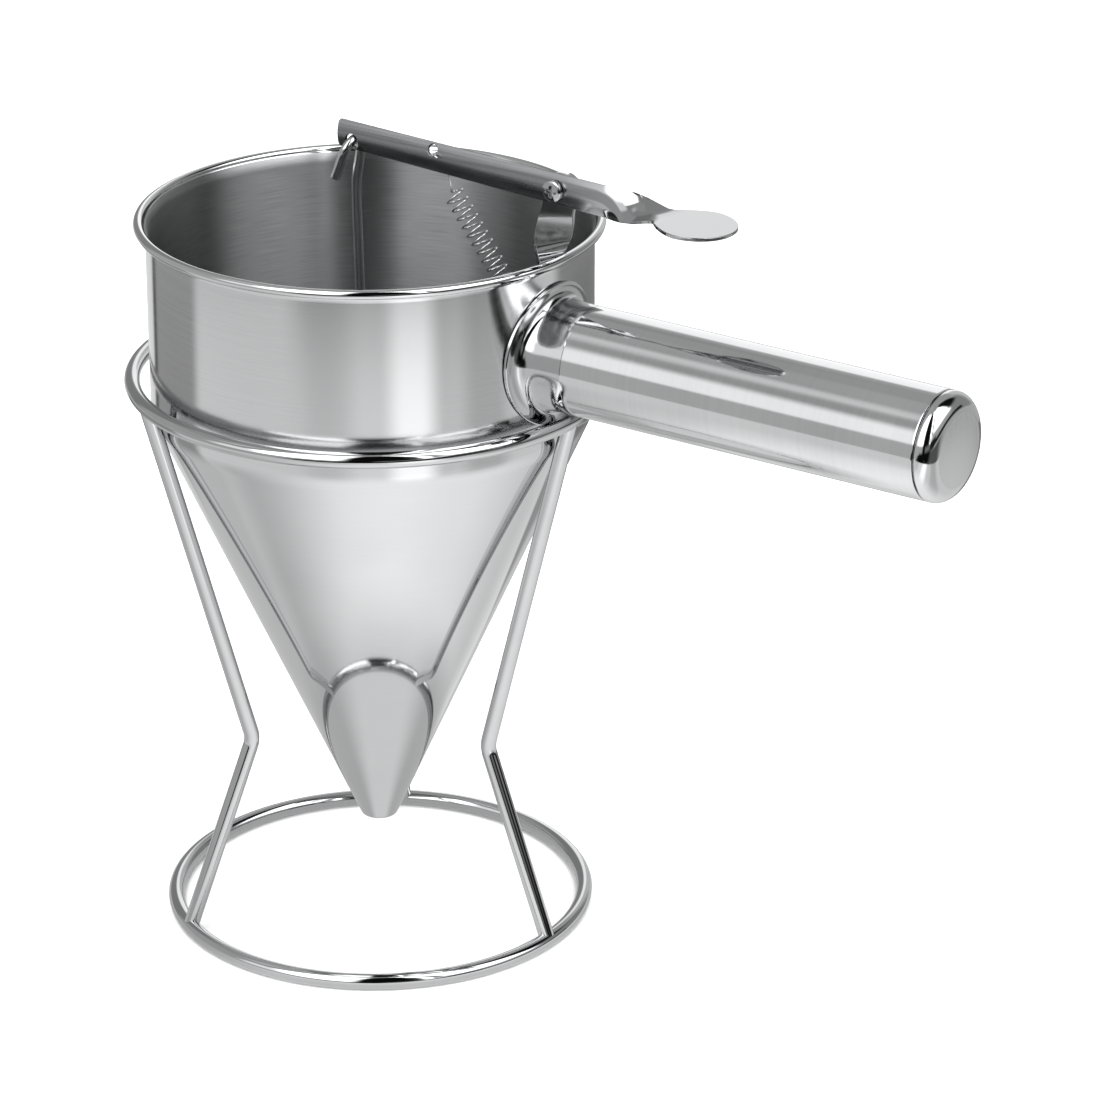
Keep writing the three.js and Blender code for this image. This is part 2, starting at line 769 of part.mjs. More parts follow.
function rodPath() {
  const tilt = radians(hookTilt);
  const upward = new THREE.Vector3(Math.sin(tilt), 0, Math.cos(tilt));
  const inward = new THREE.Vector3(0, -1, 0);
  const crown = new THREE.Vector3(hookAxis.x, -hookRadius, hookAxis.z);
  const centre = crown.clone().addScaledVector(upward, -hookRadius);
  const back = centre.clone().addScaledVector(inward, -hookRadius);
  const front = centre.clone().addScaledVector(inward, hookRadius);
  const kink = new THREE.Vector3(hookAxis.x - rodKinkInset, 0, hookAxis.z - rodKinkDrop);
  const foot = new THREE.Vector3(0, 0, socketFloor + seatGap);
  const roundness = 4 / 3 * (Math.SQRT2 - 1);
  const quarter = (from, to, fromDirection, toDirection) => new THREE.CubicBezierCurve3(
    from,
    from.clone().addScaledVector(fromDirection, hookRadius * roundness),
    to.clone().addScaledVector(toDirection, -hookRadius * roundness),
    to,
  );
  const path = new THREE.CurvePath();
  const soften = kink.clone().lerp(back, 1 / 3);
  const below = kink.clone().lerp(foot, soften.distanceTo(kink) / foot.distanceTo(kink));
  path.add(new THREE.LineCurve3(foot, below));
  path.add(new THREE.QuadraticBezierCurve3(below, kink, soften));
  path.add(new THREE.LineCurve3(soften, back));
  path.add(quarter(back, crown, upward, inward));
  path.add(quarter(crown, front, inward, upward.clone().negate()));
  path.add(new THREE.LineCurve3(front, front.clone().addScaledVector(upward, -hookLeg)));
  return path;
}

function valveStopper() {
  const noseHeight = tipHeight + stopperNoseRise;
  const noseRadius = stopperRadius - (stopperSeat - noseHeight) * coneSlope;
  const socket = rodWire / 2 + seatGap;
  const profile = [
    [0, noseHeight],
    [noseRadius, noseHeight],
    [stopperRadius, stopperSeat],
    [stopperRadius, stopperSeat + stopperBelt],
    [(stopperRadius + socket) / 2, stopperTop],
    [socket, stopperTop],
    [socket, socketFloor],
    [0, socketFloor],
  ];
  return turned(profile, smallSegments * 2);
}

// Assembly
const assembly = new THREE.Group();

function place(name, geometry, material, position = new THREE.Vector3(), parent = assembly) {
  const mesh = new THREE.Mesh(geometry, material);
  mesh.name = name;
  mesh.position.copy(position);
  parent.add(mesh);
  return mesh;
}

place('stand_base_ring', wireRing(baseRingRadius, standWire / 2, standWire), chromed);
place('stand_top_ring', wireRing(topRingRadius, topRingHeight, standWire), chromed);
const leg = standLeg();
legNames.forEach((name, i) => {
  place(name, leg, chromed).rotation.z = (i / legNames.length) * 2 * Math.PI;
});

place('funnel_shell', funnelShell(), polished);
place('handle_collar', handleCollar(), polished);
const tubePlace = new THREE.Vector3(tubeStart + seatGap, 0, handleHeight);
place('handle_tube', handleTube(), polished, tubePlace);
const capPlace = tubePlace.clone();
capPlace.x += handleTubeLength + seatGap;
place('handle_end_cap', handleEndCap(), polished, capPlace);

place('lever_bracket', leverBracket(), polished);
const leverFrame = new THREE.Group();
leverFrame.position.copy(pivot);
leverFrame.rotation.y = radians(leverSlope);
assembly.add(leverFrame);
place('thumb_lever', thumbLever(), brushed, new THREE.Vector3(), leverFrame);

const bore = pivotPin / 2 + seatGap;
const spacer = turnedSleeve(spacerRadius, bore, spacerFar - spacerNear);
const washer = turnedSleeve(washerRadius, bore, washerThickness);
const onPivot = (y) => new THREE.Vector3(pivot.x, y, pivot.z);
place('pivot_screw', pivotScrew(), polished, onPivot(headFace));
place('pivot_spacer', spacer, polished, onPivot(spacerFar));
place('pivot_washer', washer, polished, onPivot(washerFar));
place('pivot_nut', pivotNut(), polished, onPivot(nutNear + nutThickness));

const springLine = springPoints();
place('return_spring', tubeThrough(springLine, springWire, curlSides), polished);
place('valve_rod', wireAlong(rodPath(), rodWire, rodSteps), polished);
place('valve_stopper', valveStopper(), polished);
console.log(`spring: least gap to itself ${leastGap(springLine, springWire).toFixed(2)} mm`);

// The origin is the middle of the footprint, on the surface that the stand rests on
const handleEnd = capPlace.x + capDepth + capDome;
const standReach = topRingRadius + standWire / 2;
assembly.position.x = (standReach - handleEnd) / 2;

const dispenser = new THREE.Group();
dispenser.add(assembly);
export default dispenser;
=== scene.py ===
# Looks of the batter dispenser: a polished steel funnel with a lever valve, in a wire stand
from math import atan, atan2, ceil, cos, hypot, pi, radians, sin, sqrt, tan
import bmesh
import bpy
from mathutils import Matrix, Vector, geometry


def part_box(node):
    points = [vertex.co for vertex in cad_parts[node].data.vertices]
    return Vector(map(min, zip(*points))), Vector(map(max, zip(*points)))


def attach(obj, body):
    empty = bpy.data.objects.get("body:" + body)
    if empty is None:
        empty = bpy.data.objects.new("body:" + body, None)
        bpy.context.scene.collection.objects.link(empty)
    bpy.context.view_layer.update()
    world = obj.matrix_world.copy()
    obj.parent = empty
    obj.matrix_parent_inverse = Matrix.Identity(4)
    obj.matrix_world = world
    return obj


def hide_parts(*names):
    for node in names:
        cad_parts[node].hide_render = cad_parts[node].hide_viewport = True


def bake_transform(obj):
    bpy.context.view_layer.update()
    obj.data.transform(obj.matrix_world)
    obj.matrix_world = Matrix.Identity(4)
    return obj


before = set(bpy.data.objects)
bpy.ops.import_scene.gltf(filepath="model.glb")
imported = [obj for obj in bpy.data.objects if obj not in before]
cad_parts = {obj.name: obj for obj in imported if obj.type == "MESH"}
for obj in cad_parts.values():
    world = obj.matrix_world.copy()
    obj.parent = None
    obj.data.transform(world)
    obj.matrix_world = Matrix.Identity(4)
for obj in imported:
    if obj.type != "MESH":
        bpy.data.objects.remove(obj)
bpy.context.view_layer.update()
scene = bpy.context.scene

# Sizes are in millimetres about the funnel's axis, as in the part's source, until placeMesh
shellLow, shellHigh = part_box("funnel_shell")
axisX = (shellLow.x + shellHigh.x) / 2
mm = 0.001
toRow = Matrix.Translation((axisX, 0, 0)) @ Matrix.Scale(mm, 4)
turn, quarter = 2 * pi, pi / 2


# Geometry helpers

def vec(*parts):
    return Vector(parts)


def eased(t):
    return t * t * (3 - 2 * t)


def share(value, start, end):
    return min(1, max(0, (value - start) / (end - start)))


def evenly(steps):
    # From 0 to 1, both included
    return [i / steps for i in range(steps + 1)]


def polar(radius, angle):
    return radius * cos(angle), radius * sin(angle)


def stepped(start, stop, step):
    values = []
    while start < stop:
        values.append(start)
        start += step
    return values


def arc(centre, radius, start, end, steps, height=None):
    # A height of its own makes it part of an ellipse
    angles = [start + (end - start) * t for t in evenly(steps)]
    return [(centre[0] + radius * cos(a), centre[1] + (height or radius) * sin(a)) for a in angles]


def circlePoints(x, radius, height, steps):
    return [(x + radius * cos(turn * t), radius * sin(turn * t), height) for t in evenly(steps)[:-1]]


def straight(start, end, steps):
    # Even points of a line, without its end
    return [start.lerp(end, t) for t in evenly(steps)[:-1]]


def rounded(start, corner, end, steps):
    # A smooth bend round a corner, without its end
    times = evenly(steps)[:-1]
    return [start * (1 - t) ** 2 + corner * 2 * t * (1 - t) + end * t ** 2 for t in times]


def closeRings(profile, longest=4, guard=0.25):
    # Extra rings along, and close to each end, keep reflections even
    points = [profile[0]]
    for (r0, z0), (r1, z1) in zip(profile, profile[1:]):
        length = hypot(r1 - r0, z1 - z0)
        if length > 4 * guard:
            inner = max(1, ceil((length - 2 * guard) / longest))
            cuts = [guard + (length - 2 * guard) * t for t in evenly(inner)]
            points += [(r0 + (r1 - r0) * c / length, z0 + (z1 - z0) * c / length) for c in cuts]
        points.append((r1, z1))
    return points


def linked(name, data):
    item = bpy.data.objects.new(name, data)
    scene.collection.objects.link(item)
    return item


def meshObject(name, vertices, faces, edges=()):
    mesh = bpy.data.meshes.new(name)
    mesh.from_pydata([tuple(v) for v in vertices], edges, faces)
    mesh.update()
    return linked(name, mesh)


def lineObject(name, points, closed):
    last = len(points)
    edges = [(i, (i + 1) % last) for i in range(last if closed else last - 1)]
    return meshObject(name, points, [], edges)


def turnOutwards(mesh, weld=1e-4):
    work = bmesh.new()
    work.from_mesh(mesh)
    bmesh.ops.remove_doubles(work, verts=work.verts, dist=weld)
    bmesh.ops.recalc_face_normals(work, faces=work.faces)
    work.to_mesh(mesh)
    work.free()


def ringMesh(name, rings, segments, pointAt, closed):
    # A skin over rings of points; closed joins the last ring to the first
    vertices = [pointAt(ring, turn * j / segments) for ring in rings for j in range(segments)]
    faces = []
    for i in range(len(rings) if closed else len(rings) - 1):
        near, far = i * segments, (i + 1) % len(rings) * segments
        for j in range(segments):
            k = (j + 1) % segments
            faces.append((near + j, near + k, far + k, far + j))
    piece = meshObject(name, vertices, faces)
    turnOutwards(piece.data)
    return piece


def placeMesh(piece, body, nodes, material=None, matrix=Matrix(), sharpAngle=32):
    # Sets a piece in place on its body; with no body, it is left unattached
    mesh = piece.data
    mesh.transform(toRow @ matrix)
    if not mesh.has_custom_normals:
        mesh.shade_smooth()
        mesh.set_sharp_from_angle(angle=radians(sharpAngle))
    if material:
        mesh.materials.append(material)
    if body:
        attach(piece, body)
    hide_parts(*nodes)
    return piece


# Nodes

def fillInputs(tree, node, values):
    # Plain values are set and sockets are linked; a node stands for its first output
    for label, value in values.items():
        if isinstance(value, bpy.types.Node):
            value = value.outputs[0]
        if isinstance(value, bpy.types.NodeSocket):
            tree.links.new(value, node.inputs[label])
        else:
            node.inputs[label].default_value = value
    return node


def addNode(tree, kind, values, **settings):
    node = tree.nodes.new(kind)
    for label, value in settings.items():
        setattr(node, label, value)
    return fillInputs(tree, node, values)


def mathNode(tree, operation, *values):
    return addNode(tree, "ShaderNodeMath", dict(enumerate(values)), operation=operation)


def startTree(name, sockets):
    tree = bpy.data.node_groups.new(name, "GeometryNodeTree")
    for label, kind in {"Geometry": "Geometry", **sockets, "Material": "Material"}.items():
        tree.interface.new_socket(label, in_out="INPUT", socket_type="NodeSocket" + kind)
    tree.interface.new_socket("Geometry", in_out="OUTPUT", socket_type="NodeSocketGeometry")
    return tree, tree.nodes.new("NodeGroupInput").outputs


def endTree(tree, start, shape):
    whole = addNode(tree, "GeometryNodeRealizeInstances", {0: shape})
    finished = addNode(tree, "GeometryNodeSetMaterial", {"Geometry": whole, "Material": start["Material"]})
    addNode(tree, "NodeGroupOutput", {0: finished})
    return tree


def wireTree():
    # Round wire along whatever line comes in
    tree, start = startTree("bent wire", {"Thickness": "Float", "Sides": "Int"})
    line = addNode(tree, "GeometryNodeMeshToCurve", {0: start["Geometry"]})
    section = addNode(tree, "GeometryNodeCurvePrimitiveCircle", {
        "Resolution": start["Sides"], "Radius": mathNode(tree, "DIVIDE", start["Thickness"], 2)})
    wire = addNode(tree, "GeometryNodeCurveToMesh", {
        "Curve": line, "Profile Curve": section, "Fill Caps": True})
    return endTree(tree, start, wire)


def latheTree():
    # Sweeps the incoming half section round the axis
    tree, start = startTree("turned piece", {"Segments": "Int", "Seam": "Float"})
    section = addNode(tree, "GeometryNodeMeshToCurve", {0: start["Geometry"]})
    path = addNode(tree, "GeometryNodeCurvePrimitiveCircle", {"Resolution": start["Segments"], "Radius": 1})
    sweep = addNode(tree, "GeometryNodeCurveToMesh", {"Curve": path, "Profile Curve": section})
    weld = addNode(tree, "GeometryNodeMergeByDistance", {0: sweep, "Distance": start["Seam"]})
    return endTree(tree, start, weld)


def grown(piece, tree, values):
    # Keeps what the tree makes of the piece as a plain mesh
    modifier = piece.modifiers.new("grow", "NODES")
    modifier.node_group = tree
    for item in tree.interface.items_tree:
        if item.name in values:
            modifier[item.identifier] = values[item.name]
    bpy.context.view_layer.update()
    depsgraph = bpy.context.evaluated_depsgraph_get()
    mesh = bpy.data.meshes.new_from_object(piece.evaluated_get(depsgraph))
    piece.modifiers.remove(modifier)
    old = piece.data
    piece.data = mesh
    bpy.data.meshes.remove(old)
    turnOutwards(mesh)
    return piece


bentWire, turnedPiece = wireTree(), latheTree()


def wirePiece(name, points, sizes, material, closed=False):
    return grown(lineObject(name, points, closed), bentWire, {
        "Thickness": sizes["wire"], "Sides": sizes["sides"], "Material": material})


def turned(name, profile, segments, material, closed=True, longest=4, seam=0.0002):
    # The path circle has radius 1, so a point (r, z) of the section goes to (r - 1, -z)
    rings = closeRings(profile + profile[:1], longest)[:-1] if closed else closeRings(profile, longest)
    line = lineObject(name, [(r - 1, -z, 0) for r, z in rings], closed)
    return grown(line, turnedPiece, {"Segments": segments, "Seam": seam, "Material": material})


# Finishes: steel, told apart by how it was worked

steel = dict(
    ior=2.5, tint=0.005, grainSpan=(0.3, 0.7), cloudScale=30, cloudDetail=2, lineDetail=3, roundDetail=4,
    bumpDepth=0.00002, brushingTurn=0.25
)


def steelTone(tone):
    return tone, tone + steel["tint"], tone + 2 * steel["tint"], 1


def aboutAxis(tree):
    # Object coordinates about the funnel's axis, and their parts
    where = addNode(tree, "ShaderNodeTexCoord", {}).outputs["Object"]
    place = addNode(tree, "ShaderNodeMapping", {"Vector": where, "Location": (-axisX, 0, 0)})
    return place, addNode(tree, "ShaderNodeSeparateXYZ", {0: place}).outputs


def fromAxis(tree, x, y):
    squares = [mathNode(tree, "MULTIPLY", part, part) for part in (x, y)]
    return mathNode(tree, "SQRT", mathNode(tree, "ADD", *squares))


def noise(tree, place, scale, detail):
    return addNode(tree, "ShaderNodeTexNoise", {"Vector": place, "Scale": scale, "Detail": detail})


def ramp(tree, value, start, end, low=0, high=1, kind="LINEAR"):
    values = {"Value": value, "From Min": start, "From Max": end, "To Min": low, "To Max": high}
    return addNode(tree, "ShaderNodeMapRange", values, interpolation_type=kind)


def mixedTone(tree, factor, first, second):
    mix = addNode(tree, "ShaderNodeMix", {"Factor": factor, "A": first, "B": second}, data_type="RGBA")
    return mix.outputs["Result"]


def laidOver(tree, below, mask, above):
    kept = mathNode(tree, "MULTIPLY", below, mathNode(tree, "SUBTRACT", 1, mask))
    return mathNode(tree, "ADD", kept, mathNode(tree, "MULTIPLY", mask, above))


def painted(name):
    material = bpy.data.materials.new(name)
    material.use_nodes = True
    return material, material.node_tree


def finish(name, **look):
    material, tree = painted(name)
    place, (x, y, z) = aboutAxis(tree)

    def spread(source, low, high):
        return ramp(tree, source, *steel["grainSpan"], low, high)

    if "round" in look:
        # Lines round the axis vary with height and radius, and hardly with the angle
        angle = mathNode(tree, "MULTIPLY", mathNode(tree, "ARCTAN2", y, x), look["round"])
        worked = addNode(tree, "ShaderNodeCombineXYZ", {0: angle, 1: fromAxis(tree, x, y), 2: z})
        lines = noise(tree, worked, look["scale"], steel["roundDetail"])
    else:
        # Lines along the way the surface was worked
        worked = addNode(tree, "ShaderNodeMapping", {
            "Vector": place, "Scale": look.get("stretch", (1, 1, 1)),
            "Rotation": look.get("tilt", (0, 0, 0))})
        lines = noise(tree, worked, look["scale"], steel["lineDetail"])
    clouds = noise(tree, place, steel["cloudScale"], steel["cloudDetail"])
    grain = laidOver(tree, spread(clouds, 0, 1), look["lineTone"], spread(lines, 0, 1))
    tone = mixedTone(tree, grain, steelTone(look["dark"]), steelTone(look["light"]))
    rough = mathNode(tree, "ADD", spread(lines, 0, look["lineRough"]), spread(clouds, *look["rough"]))
    if "polishedFrom" in look:
        # Beyond this distance along X the piece is polished
        polished = ramp(tree, x, *look["polishedFrom"])
        rough = laidOver(tree, rough, polished, look["polishedRough"])
        tone = mixedTone(tree, polished, tone, steelTone(look["polishedTone"]))
    bump = addNode(tree, "ShaderNodeBump", {
        "Height": lines, "Strength": look["bump"], "Distance": steel["bumpDepth"]})
    shader = fillInputs(tree, tree.nodes["Principled BSDF"], {
        "Metallic": 1, "IOR": steel["ior"], "Base Color": tone, "Roughness": rough, "Normal": bump})
    if "anisotropic" in look:
        tangent = addNode(tree, "ShaderNodeTangent", {}, direction_type="RADIAL", axis="Z")
        fillInputs(tree, shader, {
            "Anisotropic": look["anisotropic"], "Anisotropic Rotation": steel["brushingTurn"],
            "Tangent": tangent})
    return material


polishedWall = finish(
    "polished steel, upper wall", dark=0.60, light=0.67, rough=(0.11, 0.13), round=0.0012, scale=2600,
    lineTone=0.6, lineRough=0.03, bump=0.03, anisotropic=0.8)
polishedCone = finish(
    "polished steel, cone", dark=0.62, light=0.66, rough=(0.03, 0.05), round=0.0012, scale=2600,
    lineTone=0.3, lineRough=0.01, bump=0.004)
polishedHandle = finish(
    "polished steel, handle", dark=0.60, light=0.67, rough=(0.04, 0.07), scale=700,
    stretch=(1, 0.02, 0.02), lineTone=0.35, lineRough=0.05, bump=0.03)
satinCap = finish(
    "satin steel, cap face", dark=0.58, light=0.66, rough=(0.24, 0.30), scale=900,
    stretch=(0.02, 1, 0.02), lineTone=0.5, lineRough=0.06, bump=0.06)
polishedSmall = finish(
    "polished steel, small parts", dark=0.50, light=0.57, rough=(0.05, 0.10), scale=500, lineTone=0.2,
    lineRough=0.03, bump=0.03)
brushedInside = finish(
    "brushed steel, inside", dark=0.32, light=0.48, rough=(0.28, 0.32), round=0.001, scale=5000,
    lineTone=0.9, lineRough=0.06, bump=0.15, anisotropic=1.0)
brushedLever = finish(
    "brushed steel, lever", dark=0.22, light=0.38, rough=(0.20, 0.28), scale=1400,
    stretch=(0.015, 1, 1), tilt=(0, radians(-2.4), 0), lineTone=0.8, lineRough=0.06, bump=0.12,
    polishedFrom=(0.076, 0.092), polishedRough=0.05, polishedTone=0.455)
chromedWire = finish(
    "bright chromed wire", dark=0.54, light=0.59, rough=(0.02, 0.05), scale=200, lineTone=0.3,
    lineRough=0.02, bump=0.02)
springSteel = finish(
    "drawn spring wire", dark=0.58, light=0.68, rough=(0.10, 0.16), scale=900, lineTone=0.5,
    lineRough=0.05, bump=0.06)
print("finishes made")


# Stand

stand = dict(
    wire=5, sides=32, baseRadius=66.3, topHeight=180.6, topClearance=2.98, funnelRadius=69,
    waistRadius=43.1, waistHeight=64, waistBend=9, footInset=0.2, endGap=0.3, ringSteps=256, bendSteps=24,
    headSteps=36
)
topRadius = stand["funnelRadius"] + stand["topClearance"] + stand["wire"] / 2


def legPoints(azimuth):
    # From the base ring, round the waist, to the top ring
    low, high = stand["wire"] / 2 + stand["endGap"], stand["topHeight"] - stand["endGap"]
    footRadius = stand["baseRadius"] - stand["footInset"]
    waist = vec(stand["waistRadius"], 0, stand["waistHeight"])
    lean = atan2(topRadius - waist.x, stand["topHeight"] - waist.z)
    lowLean = atan2(footRadius - waist.x, waist.z - stand["wire"] / 2)
    upward = vec(sin(lean), 0, cos(lean))
    downward = vec(sin(lowLean), 0, -cos(lowLean))
    foot = waist + downward * ((waist.z - low) / -downward.z)
    head = waist + upward * ((high - waist.z) / upward.z)
    setback = stand["waistBend"] * tan((lean + lowLean) / 2)
    bendStart, bendEnd = waist + downward * setback, waist + upward * setback
    points = straight(foot, bendStart, stand["bendSteps"])
    points += rounded(bendStart, waist, bendEnd, stand["bendSteps"])
    points += straight(bendEnd, head, stand["headSteps"]) + [head]
    spin = Matrix.Rotation(azimuth, 3, "Z")
    return [spin @ p for p in points]


for name, radius, height in (
    ("stand_base_ring", stand["baseRadius"], stand["wire"] / 2),
    ("stand_top_ring", topRadius, stand["topHeight"]),
):
    points = circlePoints(0, radius, height, stand["ringSteps"])
    ring = wirePiece(name + "_wire", points, stand, chromedWire, True)
    placeMesh(ring, "stand", [name])
for i, name in enumerate(("stand_leg_handle", "stand_leg_back", "stand_leg_front")):
    leg = wirePiece(name + "_wire", legPoints(turn * i / 3), stand, chromedWire)
    placeMesh(leg, "stand", [name], sharpAngle=50)
print("stand made")


# Funnel

funnel = dict(
    radius=69, wall=0.8, shoulderFillet=14, cylinder=60.6, cone=141.6, rimBead=3, rimOverhang=2,
    rimFlare=2.4, flareFoot=0.9, rimTuck=140, rollRest=0.6, tipRadius=5.5, tipRounding=1.8,
    outletRadius=4.4, outletLip=0.6, segments=288, longest=3, filletSteps=14, easeSteps=8, beadSteps=40,
    insideTilt=-0.2, insideDrop=0.4, wallMargin=1
)
tipZ = shellLow.z / mm
coneSlope = (funnel["radius"] - funnel["tipRadius"]) / funnel["cone"]
coneAngle = atan(coneSlope)
shoulderZ = tipZ + funnel["cone"]
rimZ = shoulderZ + funnel["cylinder"]
filletRadius = funnel["radius"] - funnel["shoulderFillet"]
filletZ = shoulderZ + funnel["shoulderFillet"] * tan(coneAngle / 2)
coneInnerTip = funnel["tipRadius"] - funnel["wall"] / cos(coneAngle)


def funnelProfile():
    radius, fillet, steps = funnel["radius"], funnel["shoulderFillet"], funnel["filletSteps"]
    rounding, tipTurn = funnel["tipRounding"], quarter - coneAngle
    tipCentre = (funnel["tipRadius"] - rounding * tan(tipTurn / 2), tipZ + rounding)
    points = [(funnel["outletRadius"], tipZ)]
    points += arc(tipCentre, rounding, -quarter, -quarter + tipTurn, steps)
    points += arc((filletRadius, filletZ), fillet, -coneAngle, 0, steps)
    # The wall eases out into the rolled bead, and its end eases back to the wall
    times = evenly(funnel["easeSteps"])
    rimCentre, tuck = (radius + funnel["rimOverhang"], rimZ), -radians(funnel["rimTuck"])
    bead = arc(rimCentre, funnel["rimBead"] / 2, tuck, pi, funnel["beadSteps"])
    (startX, startZ), (endX, endZ) = bead[0], bead[-1]
    footZ, inner = rimZ - funnel["rimFlare"] - funnel["flareFoot"], radius - funnel["wall"]
    points += [(radius + (startX - radius) * t * t, footZ + (startZ - footZ) * t) for t in times]
    points += bead[1:]
    rest = funnel["rimBead"] + funnel["rollRest"]
    points += [(endX + (inner - endX) * (1 - (1 - t) ** 2), endZ - rest * t) for t in times[1:]]
    points += arc((filletRadius, filletZ), fillet - funnel["wall"], 0, -coneAngle, steps)
    lipTop = tipZ + funnel["outletLip"]
    points.append((coneInnerTip + (lipTop - tipZ) * coneSlope, lipTop))
    return points + [(funnel["outletRadius"], lipTop)]


shell = turned("funnel_shell_polished", funnelProfile(), funnel["segments"], polishedCone,
               longest=funnel["longest"])
shell.data.materials.append(polishedWall)
shell.data.materials.append(brushedInside)
wallLow, wallHigh = filletZ - funnel["wallMargin"], rimZ - funnel["rimFlare"] + funnel["wallMargin"]
for face in shell.data.polygons:
    # Faces that look at the axis, below the rolled rim, are brushed
    radial = vec(face.center.x, face.center.y, 0).normalized()
    if face.normal.dot(radial) < funnel["insideTilt"] and face.center.z < rimZ - funnel["insideDrop"]:
        face.material_index = 2
    elif wallLow < face.center.z < wallHigh:
        face.material_index = 1
placeMesh(shell, "funnel", ["funnel_shell"])
print("funnel made")


# Handle

handle = dict(
    height=201.5, rootRadius=17, endRadius=16.6, wall=1, length=120.7, seat=0.3, collarReach=12.9,
    flangeRadius=22.2, flangeDepth=0.8, flangeEase=0.05, sweep=2.6, hollow=4, pace=2, sweepSteps=32,
    edge=0.3, edgeSteps=4, edgeMiddle=0.09, bevel=0.06, seam=0.04, capDepth=5.6, capCorner=6,
    capGroove=0.35, capBevel=0.1, capDome=0.4, capSpigot=8, capSteps=20, domeSteps=8, segments=192
)
collarStart = funnel["radius"] + handle["seat"]
tubeStart = collarStart + handle["collarReach"]


def alongHandle(x):
    return Matrix.Translation((x, 0, handle["height"])) @ Matrix.Rotation(quarter, 4, "Y")


def collarPoint(ring, angle):
    # Rings hold a radius about the handle and a stand-off from the round wall
    radius, standOff = ring
    y, z = polar(radius, angle)
    wallX = sqrt(collarStart ** 2 - y ** 2)
    return wallX + (tubeStart - wallX) * standOff / handle["collarReach"], y, handle["height"] + z


def collarRings():
    root, reach, bevel = handle["rootRadius"], handle["collarReach"], handle["bevel"]
    flange, thick, edge = handle["flangeRadius"], handle["flangeDepth"], handle["edge"]
    bore, drop = root - handle["wall"], flange - handle["sweep"] / 2 - root
    rings = [(bore, 0), (flange - edge, 0), (flange, handle["flangeEase"])]
    rings += arc((flange - edge, thick - edge), edge, 0, quarter, handle["edgeSteps"])
    for t in evenly(handle["sweepSteps"])[:-1]:
        standOff = thick + (reach - thick) * t ** handle["pace"]
        rings.append((root + drop * (1 - t) ** handle["hollow"], standOff))
    return rings + [(root, reach - bevel), (root - bevel, reach), (bore, reach)]


collar = ringMesh("handle_collar_flared", collarRings(), handle["segments"], collarPoint, True)
placeMesh(collar, "funnel", ["handle_collar"], polishedSmall)


def tubeProfile():
    root, end, wall, long, edge = (handle[k] for k in ("rootRadius", "endRadius", "wall", "length", "edge"))
    bevel, middle = handle["bevel"], handle["edgeMiddle"]
    return [
        (root - wall, 0), (root - bevel, 0), (root, bevel), (end, long - edge),
        (end - middle, long - middle), (end - edge, long), (end - wall, long),
    ]


tube = turned("handle_tube_polished", tubeProfile(), handle["segments"], polishedHandle)
placeMesh(tube, "funnel", ["handle_tube"], matrix=alongHandle(tubeStart + handle["seam"]))


def capProfile():
    end, deep, long = handle["endRadius"], handle["capDepth"], handle["capSpigot"]
    groove, bevel, flat = handle["capGroove"], handle["capBevel"], end - handle["capCorner"]
    spigot = end - handle["wall"] - handle["seat"]
    points = [(0, -long), (spigot, -long), (spigot, 0), (end - groove, 0), (end - bevel, bevel)]
    points += arc((flat, groove), handle["capCorner"], 0, quarter, handle["capSteps"], deep - groove)
    inwards = evenly(handle["domeSteps"])[-2::-1]
    return points + [(flat * t, deep + handle["capDome"] * (1 - t ** 2)) for t in inwards]


capStart = tubeStart + 2 * handle["seat"] + handle["length"]
cap = turned("handle_end_cap_polished", capProfile(), handle["segments"], polishedHandle, False)
cap.data.materials.append(satinCap)
for face in cap.data.polygons:
    # The flat of the end, while it still faces up
    if face.center.z > handle["capDepth"] - handle["bevel"]:
        face.material_index = 1
placeMesh(cap, "funnel", ["handle_end_cap"], matrix=alongHandle(capStart))
print("handle made")


# Sheet pieces: a flat outline with holes, bent to its form, with rounded edges

sheet = dict(sharpest=0.5, crowding=0.55, tolerance=1e-5)


def offsetLoop(loop, inset):
    # Moves each point of a closed loop to its left by inset
    loop, moved = [Vector(p) for p in loop], []
    for before, point, after in zip(loop[-1:] + loop[:-1], loop, loop[1:] + loop[:1]):
        first, second = (point - before).normalized(), (after - point).normalized()
        left = vec(-first.y - second.y, first.x + second.x).normalized()
        stretch = 1 / max(sheet["sharpest"], left.dot(vec(-first.y, first.x)))
        moved.append(point + left * inset * stretch)
    return moved


def holeLoop(x, y, radius, steps, stretch=0):
    # Clockwise, so that the metal is on its left; stretch makes it a slot
    points = []
    for i in range(steps):
        across, rise = polar(radius, -turn * i / steps)
        points.append((x + across, y + rise + (stretch / 2 if rise > 0 else -stretch / 2)))
    return points


def insideSheet(point, loops):
    # Even-odd rule over the outline and the holes
    x, y = point
    crossed = 0
    for loop in loops:
        for (x0, y0), (x1, y1) in zip(loop[-1:] + loop[:-1], loop):
            if (y0 > y) != (y1 > y) and x < x0 + (y - y0) * (x1 - x0) / (y1 - y0):
                crossed += 1
    return crossed % 2 == 1


